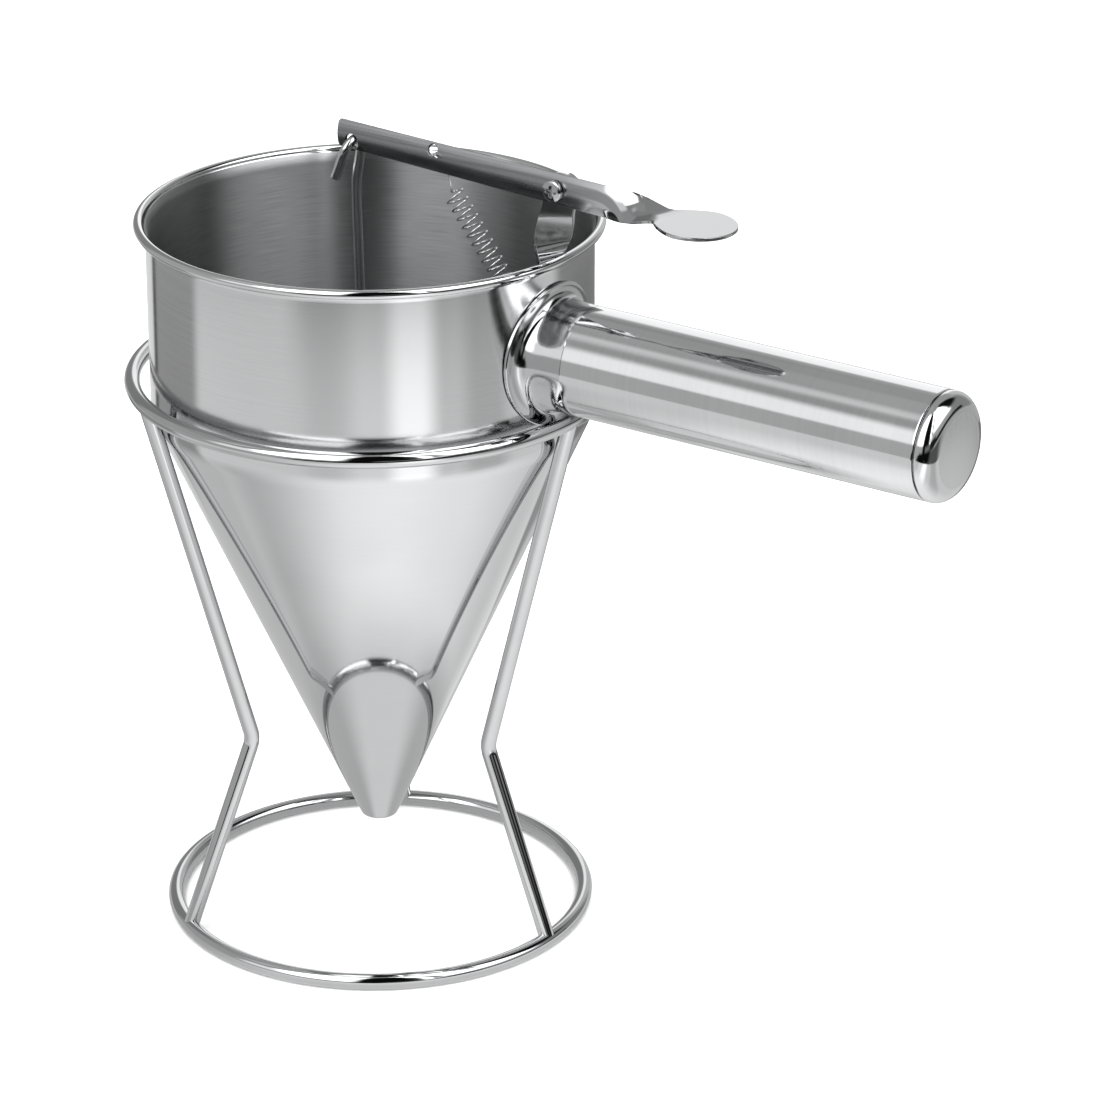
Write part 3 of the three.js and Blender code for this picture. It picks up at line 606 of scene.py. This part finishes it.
def flatSheet(loops, inner, spacing):
    # Points and triangles of the flat sheet inside its inset loops
    flat = [Vector(p) for loop in inner for p in loop]
    border = [Vector(p) for loop in loops for p in loop]
    constraints, first = [], 0
    for loop in inner:
        constraints += [(first + i, first + (i + 1) % len(loop)) for i in range(len(loop))]
        first += len(loop)
    us, vs = zip(*loops[0])
    for u in stepped(min(us), max(us), spacing):
        for v in stepped(min(vs), max(vs), spacing):
            point, room = vec(u, v), spacing * sheet["crowding"]
            if insideSheet(point, inner) and min((point - q).length for q in border) > room:
                flat.append(point)
    points, _, faces, _, _, _ = geometry.delaunay_2d_cdt(flat, constraints, [], 0, sheet["tolerance"])
    triangles = []
    for face in faces:
        if insideSheet(sum((points[i] for i in face), vec(0, 0)) / len(face), inner):
            a, b, c = (points[i] for i in face[:3])
            triangles.append(face if (b - a).cross(c - a) >= 0 else face[::-1])
    return points, triangles


def sheetPiece(name, outline, holes, bend, sizes):
    # bend(u, v) gives a point and the sheet's normal there; loops keep metal on their left
    half, edge = sizes["thickness"] / 2, sizes["edge"]
    loops = [outline] + holes
    inner = [offsetLoop(loop, edge) for loop in loops]
    points, triangles = flatSheet(loops, inner, sizes["spacing"])
    vertices, normals, faces, count = [], [], [], len(points)
    for side in (1, -1):
        for point in points:
            place, normal = bend(*point)
            vertices.append(place + normal * side * half)
            normals.append(normal * side)
    for triangle in triangles:
        faces.append(tuple(triangle))
        faces.append(tuple(count + i for i in reversed(triangle)))
    first = 0
    for loop, insetLoop in zip(loops, inner):
        # One wall ring near each face gives the rounded edge
        size, upper = len(loop), len(vertices)
        lower = upper + size
        for side in (1, -1):
            for point, insetPoint in zip(loop, insetLoop):
                place, normal = bend(*point)
                outward = place - bend(*insetPoint)[0]
                outward -= normal * outward.dot(normal)
                vertices.append(place + normal * side * (half - edge))
                normals.append(outward.normalized())
        for i in range(size):
            j = (i + 1) % size
            faces.append((upper + i, upper + j, first + j, first + i))
            faces.append((lower + i, lower + j, upper + j, upper + i))
            faces.append((count + first + i, count + first + j, lower + j, lower + i))
        first += size
    piece = meshObject(name, vertices, faces)
    piece.data.shade_smooth()
    piece.data.normals_split_custom_set_from_vertices([tuple(n) for n in normals])
    return piece


# Lever

lever = dict(
    plane=-5.2, slope=2.4, thickness=1.2, arch=1.7, tailHeight=10.2, rootHeight=11.3, tail=5.5, corner=1.2,
    cornerSteps=6, tailSteps=8, pivotReach=4.3, pivotRise=24.4, twistStart=14.7, twistEnd=40.7,
    thumbReach=48.7, thumbRadius=12.5, thumbSteps=56, neckBlend=2, hookReach=75, hookWidth=4.6,
    hookHeight=4.8, hookDrop=1.8, hookSteps=40, springReach=44.8, springRadius=1.7, springRise=2.1,
    pivotHole=1.8, holeSteps=32, edge=0.22, spacing=0.8, outlineStep=0.9, probe=0.01
)
pivot = vec(funnel["radius"] + lever["pivotReach"], lever["plane"], rimZ + lever["pivotRise"])
leverTurn = Matrix.Rotation(radians(lever["slope"]), 3, "Y")
leverCrest = -lever["arch"] / 2
leverTail = -(lever["hookReach"] + lever["tail"])


def onLever(along, across, rise):
    return pivot + leverTurn @ vec(along, across, rise)


def leverHalf(along):
    # Half the strip's height, widening to the thumb's disc
    thumb, radius = lever["thumbReach"], lever["thumbRadius"]
    disc = sqrt(max(0, radius ** 2 - (along - thumb) ** 2))
    if along > thumb:
        return disc
    t = share(along, leverTail, lever["twistStart"])
    strip = (lever["tailHeight"] + (lever["rootHeight"] - lever["tailHeight"]) * t) / 2
    # The neck's rounding fades out where the disc takes over
    blend = lever["neckBlend"] * (1 - share(along, thumb - radius / 2, thumb))
    return (disc + strip + hypot(disc - strip, blend) - blend) / 2


def leverPlace(u, v):
    # The strip's point, its turn about its length and its slope across, before the lever's own slope
    half = max(leverHalf(min(u, lever["thumbReach"])), lever["rootHeight"] / 2)
    twisted = eased(share(u, lever["twistStart"], lever["twistEnd"]))
    arch = lever["arch"] * (1 - twisted)
    spin = Matrix.Rotation(-quarter * twisted, 3, "X")
    return spin @ vec(u, arch * (v / half) ** 2 - arch / 2, v), spin, 2 * arch * v / half ** 2


def leverBend(u, v):
    place, spin, slope = leverPlace(u, v)
    normal = (spin @ vec(0, -1, slope)).normalized()
    if lever["twistStart"] < u < lever["twistEnd"]:
        # In the twist the surface also leans along the lever
        along = leverPlace(u + lever["probe"], v)[0] - place
        leaning = along.normalized().cross(spin @ vec(0, slope, 1)).normalized()
        normal = leaning if leaning.dot(normal) > 0 else -leaning
    return pivot + leverTurn @ place, leverTurn @ normal


def leverOutline():
    # Anticlockwise from the front: lower edge, round the thumb, upper edge back
    corner, half = lever["corner"], leverHalf(leverTail)
    start, steps = leverTail + corner, lever["cornerSteps"]
    lower = [(u, -leverHalf(u)) for u in stepped(start, lever["thumbReach"], lever["outlineStep"])]
    tip = arc((lever["thumbReach"], 0), lever["thumbRadius"], -quarter, quarter, lever["thumbSteps"])
    upper = [(x, -y) for x, y in reversed(lower)]
    ends = arc((start, half - corner), corner, quarter, pi, steps)[1:]
    ends += [(leverTail, (half - corner) * (1 - 2 * t)) for t in evenly(lever["tailSteps"])[1:-1]]
    ends += arc((start, corner - half), corner, pi, 3 * quarter, steps)[:-1]
    return lower + tip + upper + ends


leverHoles = [
    holeLoop(-lever["hookReach"], -lever["hookDrop"], lever["hookWidth"] / 2, lever["hookSteps"],
             lever["hookHeight"] - lever["hookWidth"]),
    holeLoop(-lever["springReach"], lever["springRise"], lever["springRadius"], lever["holeSteps"]),
    holeLoop(0, 0, lever["pivotHole"], lever["holeSteps"]),
]
strip = sheetPiece("thumb_lever_strip", leverOutline(), leverHoles, leverBend, lever)
placeMesh(strip, "lever", ["thumb_lever"], brushedLever)
print("lever made")


# Bracket

bracket = dict(
    width=11.4, thickness=1.5, plane=-2.25, eyeRise=4.2, eyeSteps=28, twistStart=1.7, twistEnd=16.8,
    footDrop=26.7, lip=9.4, lipSteps=10, bend=3, corner=1, cornerCut=0.3, holeRadius=1.6, holeInset=3,
    edge=0.25, spacing=0.8
)
footChord = sqrt((funnel["radius"] - funnel["wall"]) ** 2 - (bracket["width"] / 2) ** 2)
footX = footChord - handle["seat"] - bracket["thickness"] / 2
lipZ = rimZ - bracket["footDrop"]
lipHoleX = footX - bracket["lip"] + bracket["holeInset"]
lipFlat = bracket["lip"] - bracket["bend"]
riseStart = lipFlat + bracket["bend"] * quarter
twistLow, twistHigh = rimZ - bracket["twistStart"], rimZ + bracket["twistEnd"]
topU = riseStart + pivot.z - (lipZ + bracket["bend"])


def bracketBend(u, v):
    # u runs from the lip's inner end, round the bend, up the wall and on through the twist
    bend = bracket["bend"]
    width = vec(0, -1, 0)
    if u < riseStart:
        angle = max(0, u - lipFlat) / bend
        normal = vec(sin(angle), 0, -cos(angle))
        centre = vec(footX - bend + min(0, u - lipFlat), 0, lipZ + bend) + normal * bend
    else:
        height = lipZ + bend + u - riseStart
        t = share(height, twistLow, twistHigh)
        angle = quarter * (t + eased(t)) / 2
        lean = eased(share(height, twistLow - bend, pivot.z + bend))
        centre = vec(footX + (pivot.x - footX) * lean, bracket["plane"] * eased(t), height)
        width = vec(-sin(angle), -cos(angle), 0)
        normal = vec(cos(angle), -sin(angle), 0)
    return centre + width * v, normal


def bracketOutline():
    half, corner, cut = bracket["width"] / 2, bracket["corner"], bracket["cornerCut"]
    right = [(u, -half) for u in stepped(corner, topU, bracket["spacing"])]
    eye = arc((topU, 0), bracket["eyeRise"], -quarter, quarter, bracket["eyeSteps"], half)
    left = [(x, -y) for x, y in reversed(right)]
    lip = [(0, (half - corner) * (1 - 2 * t)) for t in evenly(bracket["lipSteps"])]
    return right + eye + left + [(cut, half - cut)] + lip + [(cut, cut - half)]


bracketHoles = [
    holeLoop(lipHoleX - (footX - bracket["lip"]), 0, bracket["holeRadius"], bracket["eyeSteps"]),
    holeLoop(topU, 0, lever["pivotHole"], bracket["eyeSteps"]),
]
arm = sheetPiece("lever_bracket_twisted", bracketOutline(), bracketHoles, bracketBend, bracket)
placeMesh(arm, "funnel", ["lever_bracket"], polishedSmall)


# Pivot screw and its spacer, washer and nut, stacked along Y

bolt = dict(
    pin=3, pinBevel=0.35, thread=0.22, threadStart=0.15, threadExtra=1, pitch=0.5, head=6.6,
    headDepth=2, headEdge=0.2, headDome=0.7, domeTurn=quarter * 5 / 14, domeSteps=5, underHead=0.02,
    recessLength=3.6, recessWidth=0.9, recessDepth=1.1, recessFlank=(-0.12, 0.22), recessSteps=24, spacer=3,
    washer=3.4, washerDepth=0.8, sleeveEdge=0.15, sleeveSegments=64, acrossFlats=5.5, nutDepth=2.4,
    nutFace=0.97, nutEdge=0.2, nutChamfer=0.45, overrun=1, segments=96
)
gap = handle["seat"]
bore = bolt["pin"] / 2 + gap
crestFront = lever["plane"] + leverCrest - lever["thickness"] / 2
crestBack = crestFront + lever["thickness"]
archUnder = lever["arch"] * (bolt["spacer"] / (lever["rootHeight"] / 2)) ** 2
headFace = crestFront - gap
spacerNear = crestBack + archUnder + gap
bracketNear = bracket["plane"] - bracket["thickness"] / 2
washerFar = bracketNear + bracket["thickness"] + gap + bolt["washerDepth"]
nutFar = washerFar + gap + bolt["nutDepth"]


def atPivot(y):
    return Matrix.Translation((pivot.x, y, pivot.z)) @ Matrix.Rotation(quarter, 4, "X")


def screwPoint(ring, angle):
    # Rings without a height follow the head's dome, with the cross recess pressed in
    radius, z = ring
    x, y = polar(radius, angle)
    if z is None:
        long, wide = bolt["recessLength"] / 2, bolt["recessWidth"] / 2
        outside = min(max(abs(x) - long, abs(y) - wide), max(abs(y) - long, abs(x) - wide))
        dome = sqrt(max(0, 1 - (radius / (bolt["head"] / 2)) ** 2))
        z = bolt["headDepth"] + bolt["headDome"] * (dome - 1)
        z -= bolt["recessDepth"] * eased(share(-outside, *bolt["recessFlank"]))
    return x, y, z


def screwRings():
    # From the threaded end up to the head
    head, thick, dome = bolt["head"] / 2, bolt["headDepth"], bolt["headDome"]
    shank, edge, pitch = bolt["pin"] / 2, bolt["headEdge"], bolt["pitch"]
    end = headFace - nutFar - bolt["overrun"]
    threadEnd = end + bolt["nutDepth"] + bolt["overrun"] + bolt["threadExtra"]
    rings = [(0, end), (shank - bolt["pinBevel"], end)]
    for z in stepped(end + bolt["threadStart"], threadEnd, pitch):
        rings += [(shank - bolt["thread"], z), (shank, z + pitch / 2)]
    rings += [(shank, z + pitch), (shank, -bolt["underHead"]), (head - edge, 0), (head, edge)]
    rings += arc((0, thick - dome), head, 0, bolt["domeTurn"], bolt["domeSteps"], dome)
    inwards = evenly(bolt["recessSteps"])[-2::-1]
    return rings + [(rings[-1][0] * t, None) for t in inwards]


def sleeve(name, outer, length):
    edge = bolt["sleeveEdge"]
    profile = [(bore, edge), (bore + edge, 0), (outer - edge, 0), (outer, edge), (outer, length - edge),
               (outer - edge, length), (bore + edge, length), (bore, length - edge)]
    return turned(name, profile, bolt["sleeveSegments"], polishedSmall)


def nutPiece():
    flat, tall, edge = bolt["acrossFlats"] / 2, bolt["nutDepth"], bolt["nutEdge"]
    corner, face = flat / cos(pi / 6), flat * bolt["nutFace"]
    # Radius and height from the nearer face; the flanks find their radius at each angle
    lower = [(bore, edge), (bore + edge, 0), (face, 0), (None, 0)]

    def pointAt(ring, angle):
        radius, height, far = ring
        if radius is None:
            radius = flat / cos((angle + pi / 6) % (pi / 3) - pi / 6)
            height = bolt["nutChamfer"] * (radius - face) / (corner - face)
        return *polar(radius, angle), tall - height if far else height

    rings = [(*ring, False) for ring in lower] + [(*ring, True) for ring in reversed(lower)]
    return ringMesh("pivot_nut_hex", rings, bolt["segments"], pointAt, True)


screw = ringMesh("pivot_screw_pan_head", screwRings(), bolt["segments"], screwPoint, False)
placeMesh(screw, "funnel", ["pivot_screw"], polishedSmall, atPivot(headFace))
spacer = sleeve("pivot_spacer_turned", bolt["spacer"], bracketNear - gap - spacerNear)
placeMesh(spacer, "funnel", ["pivot_spacer"], matrix=atPivot(bracketNear - gap))
washer = sleeve("pivot_washer_turned", bolt["washer"], bolt["washerDepth"])
placeMesh(washer, "funnel", ["pivot_washer"], matrix=atPivot(washerFar))
placeMesh(nutPiece(), "funnel", ["pivot_nut"], polishedSmall, atPivot(nutFar), sharpAngle=25)
print("bracket and pivot made")


# Return spring

spring = dict(
    wire=0.7, sides=12, radius=3, curls=15, steps=20, hookSteps=8, drop=12.6, backset=2.15, topReach=4.7,
    footRise=6.3, footInset=2.5, tail=2.3
)


def smoothThrough(points, steps):
    # Centripetal curve through the points, without the last
    def between(first, last, start, end, x):
        return first * ((end - x) / (end - start)) + last * ((x - start) / (end - start))

    knots = [points[0] * 2 - points[1]] + points + [points[-1] * 2 - points[-2]]
    line = []
    for i in range(1, len(knots) - 2):
        p, t = knots[i - 1:i + 3], [0.0]
        for a, b in zip(p, p[1:]):
            t.append(t[-1] + sqrt((b - a).length))
        for s in range(steps):
            x = t[1] + (t[2] - t[1]) * s / steps
            a = [between(p[k], p[k + 1], t[k], t[k + 1], x) for k in range(3)]
            b = [between(a[k], a[k + 1], t[k], t[k + 2], x) for k in range(2)]
            line.append(between(b[0], b[1], t[1], t[2], x))
    return line


springHole = onLever(-lever["springReach"], leverCrest, lever["springRise"])
springTop = springHole + vec(spring["topReach"], 0, -spring["drop"])
springTop.y = lever["plane"] + spring["backset"]
springFoot = vec(lipHoleX - spring["footInset"], 0, lipZ + spring["footRise"])


def springCurls():
    axis = springFoot - springTop
    along = axis.normalized()
    side = vec(0, 1, 0).cross(along).normalized()
    other = along.cross(side)
    count, fadeSteps = spring["curls"] * spring["steps"], spring["steps"] / 2
    curls = []
    for i in range(count + 1):
        fade = min(1, i / fadeSteps, (count - i) / fadeSteps)
        a, b = polar(spring["radius"] * sin(fade * quarter), turn * i / spring["steps"])
        curls.append(springTop + axis * i / count + side * a + other * b)
    return curls


def springLine():
    # Hook through the lever's hole, curls, then the leg through the bracket's lip
    curls, wire, tail, thick = springCurls(), spring["wire"], spring["tail"], bracket["thickness"]
    bearing = gap + wire / 2
    pull = vec(springFoot.x - springHole.x, 0, springFoot.z - springHole.z).normalized()
    seat = springHole + pull * (lever["springRadius"] - bearing)
    front = crestFront - bearing
    middle = seat.lerp(springTop, 0.5)
    hook = [Vector(p) for p in (
        (seat.x + tail, front - wire / 2, seat.z - wire), (seat.x + wire, front, seat.z), seat,
        (seat.x, crestBack + lever["thickness"], seat.z - wire / 2),
        (middle.x, springTop.y + wire, middle.z), curls[0],
    )]
    legX = lipHoleX - bracket["holeRadius"] + bearing
    under = lipZ - thick / 2 - bearing
    leg = [Vector(p) for p in (
        curls[-1], (legX, 0, lipZ + thick / 2 + bearing), (legX, 0, lipZ - thick / 2),
        (legX - wire / 2, 0, under - wire / 4), (legX - tail, 0, under),
    )]
    steps = spring["hookSteps"]
    return smoothThrough(hook, steps) + curls[:-1] + smoothThrough(leg, steps) + leg[-1:]


coil = wirePiece("return_spring_coil", springLine(), spring, springSteel)
placeMesh(coil, None, ["return_spring"], sharpAngle=60)
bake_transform(coil)
print("spring made")


# Valve

valve = dict(
    wire=3, sides=28, facets=8, kinkDrop=15.6, kinkInset=3.8, hookRadius=4.5, hookTilt=21, hookLeg=8.6,
    hookShift=0.4, rodSteps=60, kinkSteps=12, neckSteps=8, hookSteps=40, legSteps=10, stopperRadius=7,
    noseRise=2, noseEdge=0.3, belt=2, beltEdge=0.2, beltEase=0.1, crown=1.8, socket=5, segments=96
)
hookDrop = lever["hookDrop"] + lever["hookHeight"] / 2
hookAxis = onLever(-lever["hookReach"] + valve["hookShift"], leverCrest, -hookDrop)
hookInside = valve["hookRadius"] - valve["wire"] / 2 / cos(pi / valve["facets"]) - gap
hookAxis.z += valve["hookRadius"] - sqrt(hookInside ** 2 - (crestFront + valve["hookRadius"]) ** 2)
stopperSeat = tipZ + (valve["stopperRadius"] + gap / cos(coneAngle) - coneInnerTip) / coneSlope
stopperTop = stopperSeat + valve["belt"] + valve["crown"]
socketFloor = stopperTop - valve["socket"]


def rodLine():
    # From the stopper up, round the kink, over the hook and down its short leg
    tilt, radius, steps = radians(valve["hookTilt"]), valve["hookRadius"], valve["hookSteps"]
    upward, sideways = vec(sin(tilt), 0, cos(tilt)), vec(0, radius, 0)
    centre = vec(hookAxis.x, -radius, hookAxis.z) - upward * radius
    back, front = centre + sideways, centre - sideways
    kink = vec(hookAxis.x - valve["kinkInset"], 0, hookAxis.z - valve["kinkDrop"])
    foot = vec(0, 0, socketFloor + gap)
    soften = kink.lerp(back, 1 / 3)
    below = kink.lerp(foot, (soften - kink).length / (foot - kink).length)
    line = straight(foot, below, valve["rodSteps"]) + rounded(below, kink, soften, valve["kinkSteps"])
    line += straight(soften, back, valve["neckSteps"])
    for t in evenly(steps)[:-1]:
        line.append(centre + sideways * cos(pi * t) + upward * radius * sin(pi * t))
    end = front - upward * valve["hookLeg"]
    return line + straight(front, end, valve["legSteps"]) + [end]


rod = wirePiece("valve_rod_hooked", rodLine(), valve, polishedSmall)
placeMesh(rod, "valve", ["valve_rod"], sharpAngle=50)


def stopperProfile():
    seat, radius, bevel = stopperSeat, valve["stopperRadius"], valve["noseEdge"]
    edge, ease, socket = valve["beltEdge"], valve["beltEase"], valve["wire"] / 2 + gap
    noseZ, beltTop, crown = tipZ + valve["noseRise"], seat + valve["belt"], (radius + socket) / 2
    nose = radius - (seat - noseZ) * coneSlope
    return [
        (0, noseZ), (nose - bevel, noseZ), (nose, noseZ + bevel), (radius - ease, seat - edge),
        (radius, seat + ease), (radius, beltTop - edge), (radius - edge, beltTop),
        (crown, stopperTop - ease), (crown - bevel, stopperTop), (socket, stopperTop),
        (socket, socketFloor), (0, socketFloor),
    ]


stopper = turned("valve_stopper_turned", stopperProfile(), valve["segments"], polishedSmall, False)
placeMesh(stopper, "valve", ["valve_stopper"])
print("valve made")


# Studio: pale floor, soft light, and what the steel mirrors

studio = dict(
    floorReach=6, floorTone=0.9, floorRough=0.9, floorSteps=96, tableReach=3, tableDrop=0.0004,
    lampPower=95, lampSize=2.6, lampHeight=2.6, steelTone=0.64, surround=0.6
)

# Azimuth and elevation, half width, half height and soft edge in degrees, then brightness as it shows in
# polished steel; later panels lie over earlier ones
panels = [
    (0, 66, None, 26, 5, 0.56),       # ceiling, all round, with a lighter patch over the left shoulder
    (-160, 70, 45, 12, 4, 0.60),
    (155, 20, 22, 24, 5, 0.47),       # grey wall, back left
    (118, 14, 10, 19, 3, 0.93),       # white wall behind
    (100, 8, 9, 26, 4, 0.70),
    (-91, 46, 27, 31, 4, 1.40),       # large soft light, front left
    (-146, 54, 10, 6, 7, 0.76),       # its frame, left
    (-131, 41, 7, 6, 6, 0.56),
    (-120, 22, 12, 13, 6, 0.90),      # low soft light, left, and its stand
    (-122, -3, 34, 14, 2, 0.62),
    (13, 51, 31, 27, 5, 1.40),        # large soft light, front right
    (62, 14, 22, 20, 6, 0.48),        # wall, right, and the dark above it
    (56, 54, 20, 24, 6, 0.05),
    (-35, 20, 12, 38, 5, 0.36),       # dark room behind the camera, with a slit of light
    (-28, 48, 2, 38, 1.5, 1.90),
    (-51, 27, 17, 51, 5, 0.03),
    (-25, 16, 7, 5, 3, 0.90),
    (-28, 2, 24, 8, 4, 0.40),
    (-12, 5, 12, 7, 3, 0.10),
    (25, 3, 34, 4, 2, 0.08),
    (-55, -9, 34, 9, 4, 0.03),
]

# The table that the steel mirrors, in metres from the axis and in degrees: a glowing plane with the table's
# light and shade painted on. Its sectors have an azimuth, half width, soft edge and brightness, and lie far
# out, near the stand, under the funnel, where a darker disc is a painted shadow of the funnel and stand
# ring, and past its edge
table = dict(
    far=0.76, near=0.86, nearReach=(0.2, 0.4), behind=0.52, behindFrom=(0.115, 0.13), behindAzimuth=127,
    side=0.68, sideAzimuth=150, sideHalf=62, sideSoft=6, sideFrom=(0.06, 0.08), under=0.64,
    underShadowReach=(0.10, 0.066), edge=(0.72, 0.74), past=0.62,
    farSectors=[
        (-77, 7, 5, 0.73), (-50, 13, 6, 0.83), (-34, 10, 6, 1.02), (4, 11, 6, 0.66), (82, 30, 5, 0.42),
        (-172, 22, 4, 0.52), (166, 3, 2, 0.28)
    ],
    nearSectors=[(-130, 30, 34, 0.66), (60, 24, 34, 0.72), (-38, 26, 26, 0.90)],
    # The painted shadow under the funnel and ring, lighter on one side
    underSectors=[(-45, 55, 25, 0.77)],
    pastSectors=[(-15, 40, 10, 0.30), (-55, 36, 8, 0.04)],
)


def shown(brightness):
    # Undoes the screen's curve and one mirroring in polished steel
    return ((brightness + 0.055) / 1.055) ** 2.4 / studio["steelTone"]


def smoothRamp(tree, value, start, end):
    return ramp(tree, value, start, end, kind="SMOOTHSTEP")


def softBand(tree, value, middle, half, soft):
    # 1 within half of the middle and 0 outside, in degrees and the short way round
    away = mathNode(tree, "WRAP", mathNode(tree, "SUBTRACT", value, radians(middle)), pi, -pi)
    return smoothRamp(tree, mathNode(tree, "ABSOLUTE", away), radians(half + soft), radians(half - soft))


def surroundings():
    world = bpy.data.worlds.new("studio")
    scene.world = world
    world.use_nodes = True
    tree = world.node_tree
    where = addNode(tree, "ShaderNodeTexCoord", {}).outputs["Generated"]
    x, y, z = addNode(tree, "ShaderNodeSeparateXYZ", {0: where}).outputs
    azimuth, elevation = mathNode(tree, "ARCTAN2", y, x), mathNode(tree, "ARCSINE", z)
    light = shown(studio["surround"])
    for middle, height, halfWidth, halfHeight, soft, brightness in panels:
        mask = softBand(tree, elevation, height, halfHeight, soft)
        if halfWidth:
            mask = mathNode(tree, "MULTIPLY", mask, softBand(tree, azimuth, middle, halfWidth, soft))
        light = laidOver(tree, light, mask, shown(brightness))
    # The camera sees plain white, and the steel sees the panels
    path = addNode(tree, "ShaderNodeLightPath", {})
    seen = laidOver(tree, light, path.outputs["Is Camera Ray"], 1)
    fillInputs(tree, tree.nodes["Background"], {"Color": seen})


def tablePaint():
    # Only mirrored rays see it: the table's brightness by place, painted as a glow, with a painted shadow
    # under the funnel and stand ring
    material, tree = painted("mirrored table")
    tree.nodes.remove(tree.nodes["Principled BSDF"])
    x, y, _ = aboutAxis(tree)[1]
    azimuth, reach = mathNode(tree, "ARCTAN2", y, x), fromAxis(tree, x, y)
    headX, headY = polar(1, radians(table["behindAzimuth"]))
    depth = mathNode(tree, "ADD", mathNode(tree, "MULTIPLY", x, headX), mathNode(tree, "MULTIPLY", y, headY))

    def zone(name):
        light = shown(table[name])
        for middle, half, soft, brightness in table[name + "Sectors"]:
            light = laidOver(tree, light, softBand(tree, azimuth, middle, half, soft), shown(brightness))
        return light

    behind = smoothRamp(tree, depth, *table["behindFrom"])
    light = laidOver(tree, zone("near"), behind, shown(table["behind"]))
    side = softBand(tree, azimuth, table["sideAzimuth"], table["sideHalf"], table["sideSoft"])
    side = mathNode(tree, "MULTIPLY", side, smoothRamp(tree, reach, *table["sideFrom"]))
    light = laidOver(tree, light, side, shown(table["side"]))
    # First the painted shadow under the funnel and ring, then the far table, then past its edge
    for span, name in (("underShadowReach", "under"), ("nearReach", "far"), ("edge", "past")):
        light = laidOver(tree, light, smoothRamp(tree, reach, *table[span]), zone(name))
    glow = addNode(tree, "ShaderNodeEmission", {"Color": light})
    fillInputs(tree, tree.nodes["Material Output"], {"Surface": glow})
    return material


def floorPaint():
    material, tree = painted("pale floor")
    fillInputs(tree, tree.nodes["Principled BSDF"], {
        "Base Color": (*[studio["floorTone"]] * 3, 1), "Roughness": studio["floorRough"],
        "Specular IOR Level": 0})
    return material


def floorPiece(name, reach, height, material):
    steps = studio["floorSteps"]
    piece = meshObject(name, circlePoints(axisX, reach, height, steps), [tuple(range(steps))])
    piece.data.materials.append(material)
    return piece


floor = floorPiece("floor", studio["floorReach"], 0, floorPaint())
floor.visible_glossy = False
mirrored = floorPiece("floor_mirrored", studio["tableReach"], -studio["tableDrop"], tablePaint())
mirrored.visible_camera = mirrored.visible_diffuse = mirrored.visible_shadow = False
surroundings()

lamp = bpy.data.lights.new("overhead", "AREA")
lamp.energy = studio["lampPower"]
lamp.size = studio["lampSize"]
overhead = linked("overhead", lamp)
overhead.location = (axisX, 0, studio["lampHeight"])
overhead.visible_glossy = False

# The photograph's camera
view = dict(
    offset=(801.27, -1057.71, 675.06), pitch=67.314, heading=34.765, lens=148.92, sensor=36, clip=50
)
lens = bpy.data.cameras.new("camera")
lens.lens = view["lens"]
lens.sensor_width = view["sensor"]
lens.clip_end = view["clip"]
camera = linked("camera", lens)
camera.location = toRow @ Vector(view["offset"])
camera.rotation_euler = (radians(view["pitch"]), 0, radians(view["heading"]))
scene.camera = camera
scene.view_settings.view_transform = "Standard"
scene.cycles.use_denoising = True
print("studio made")
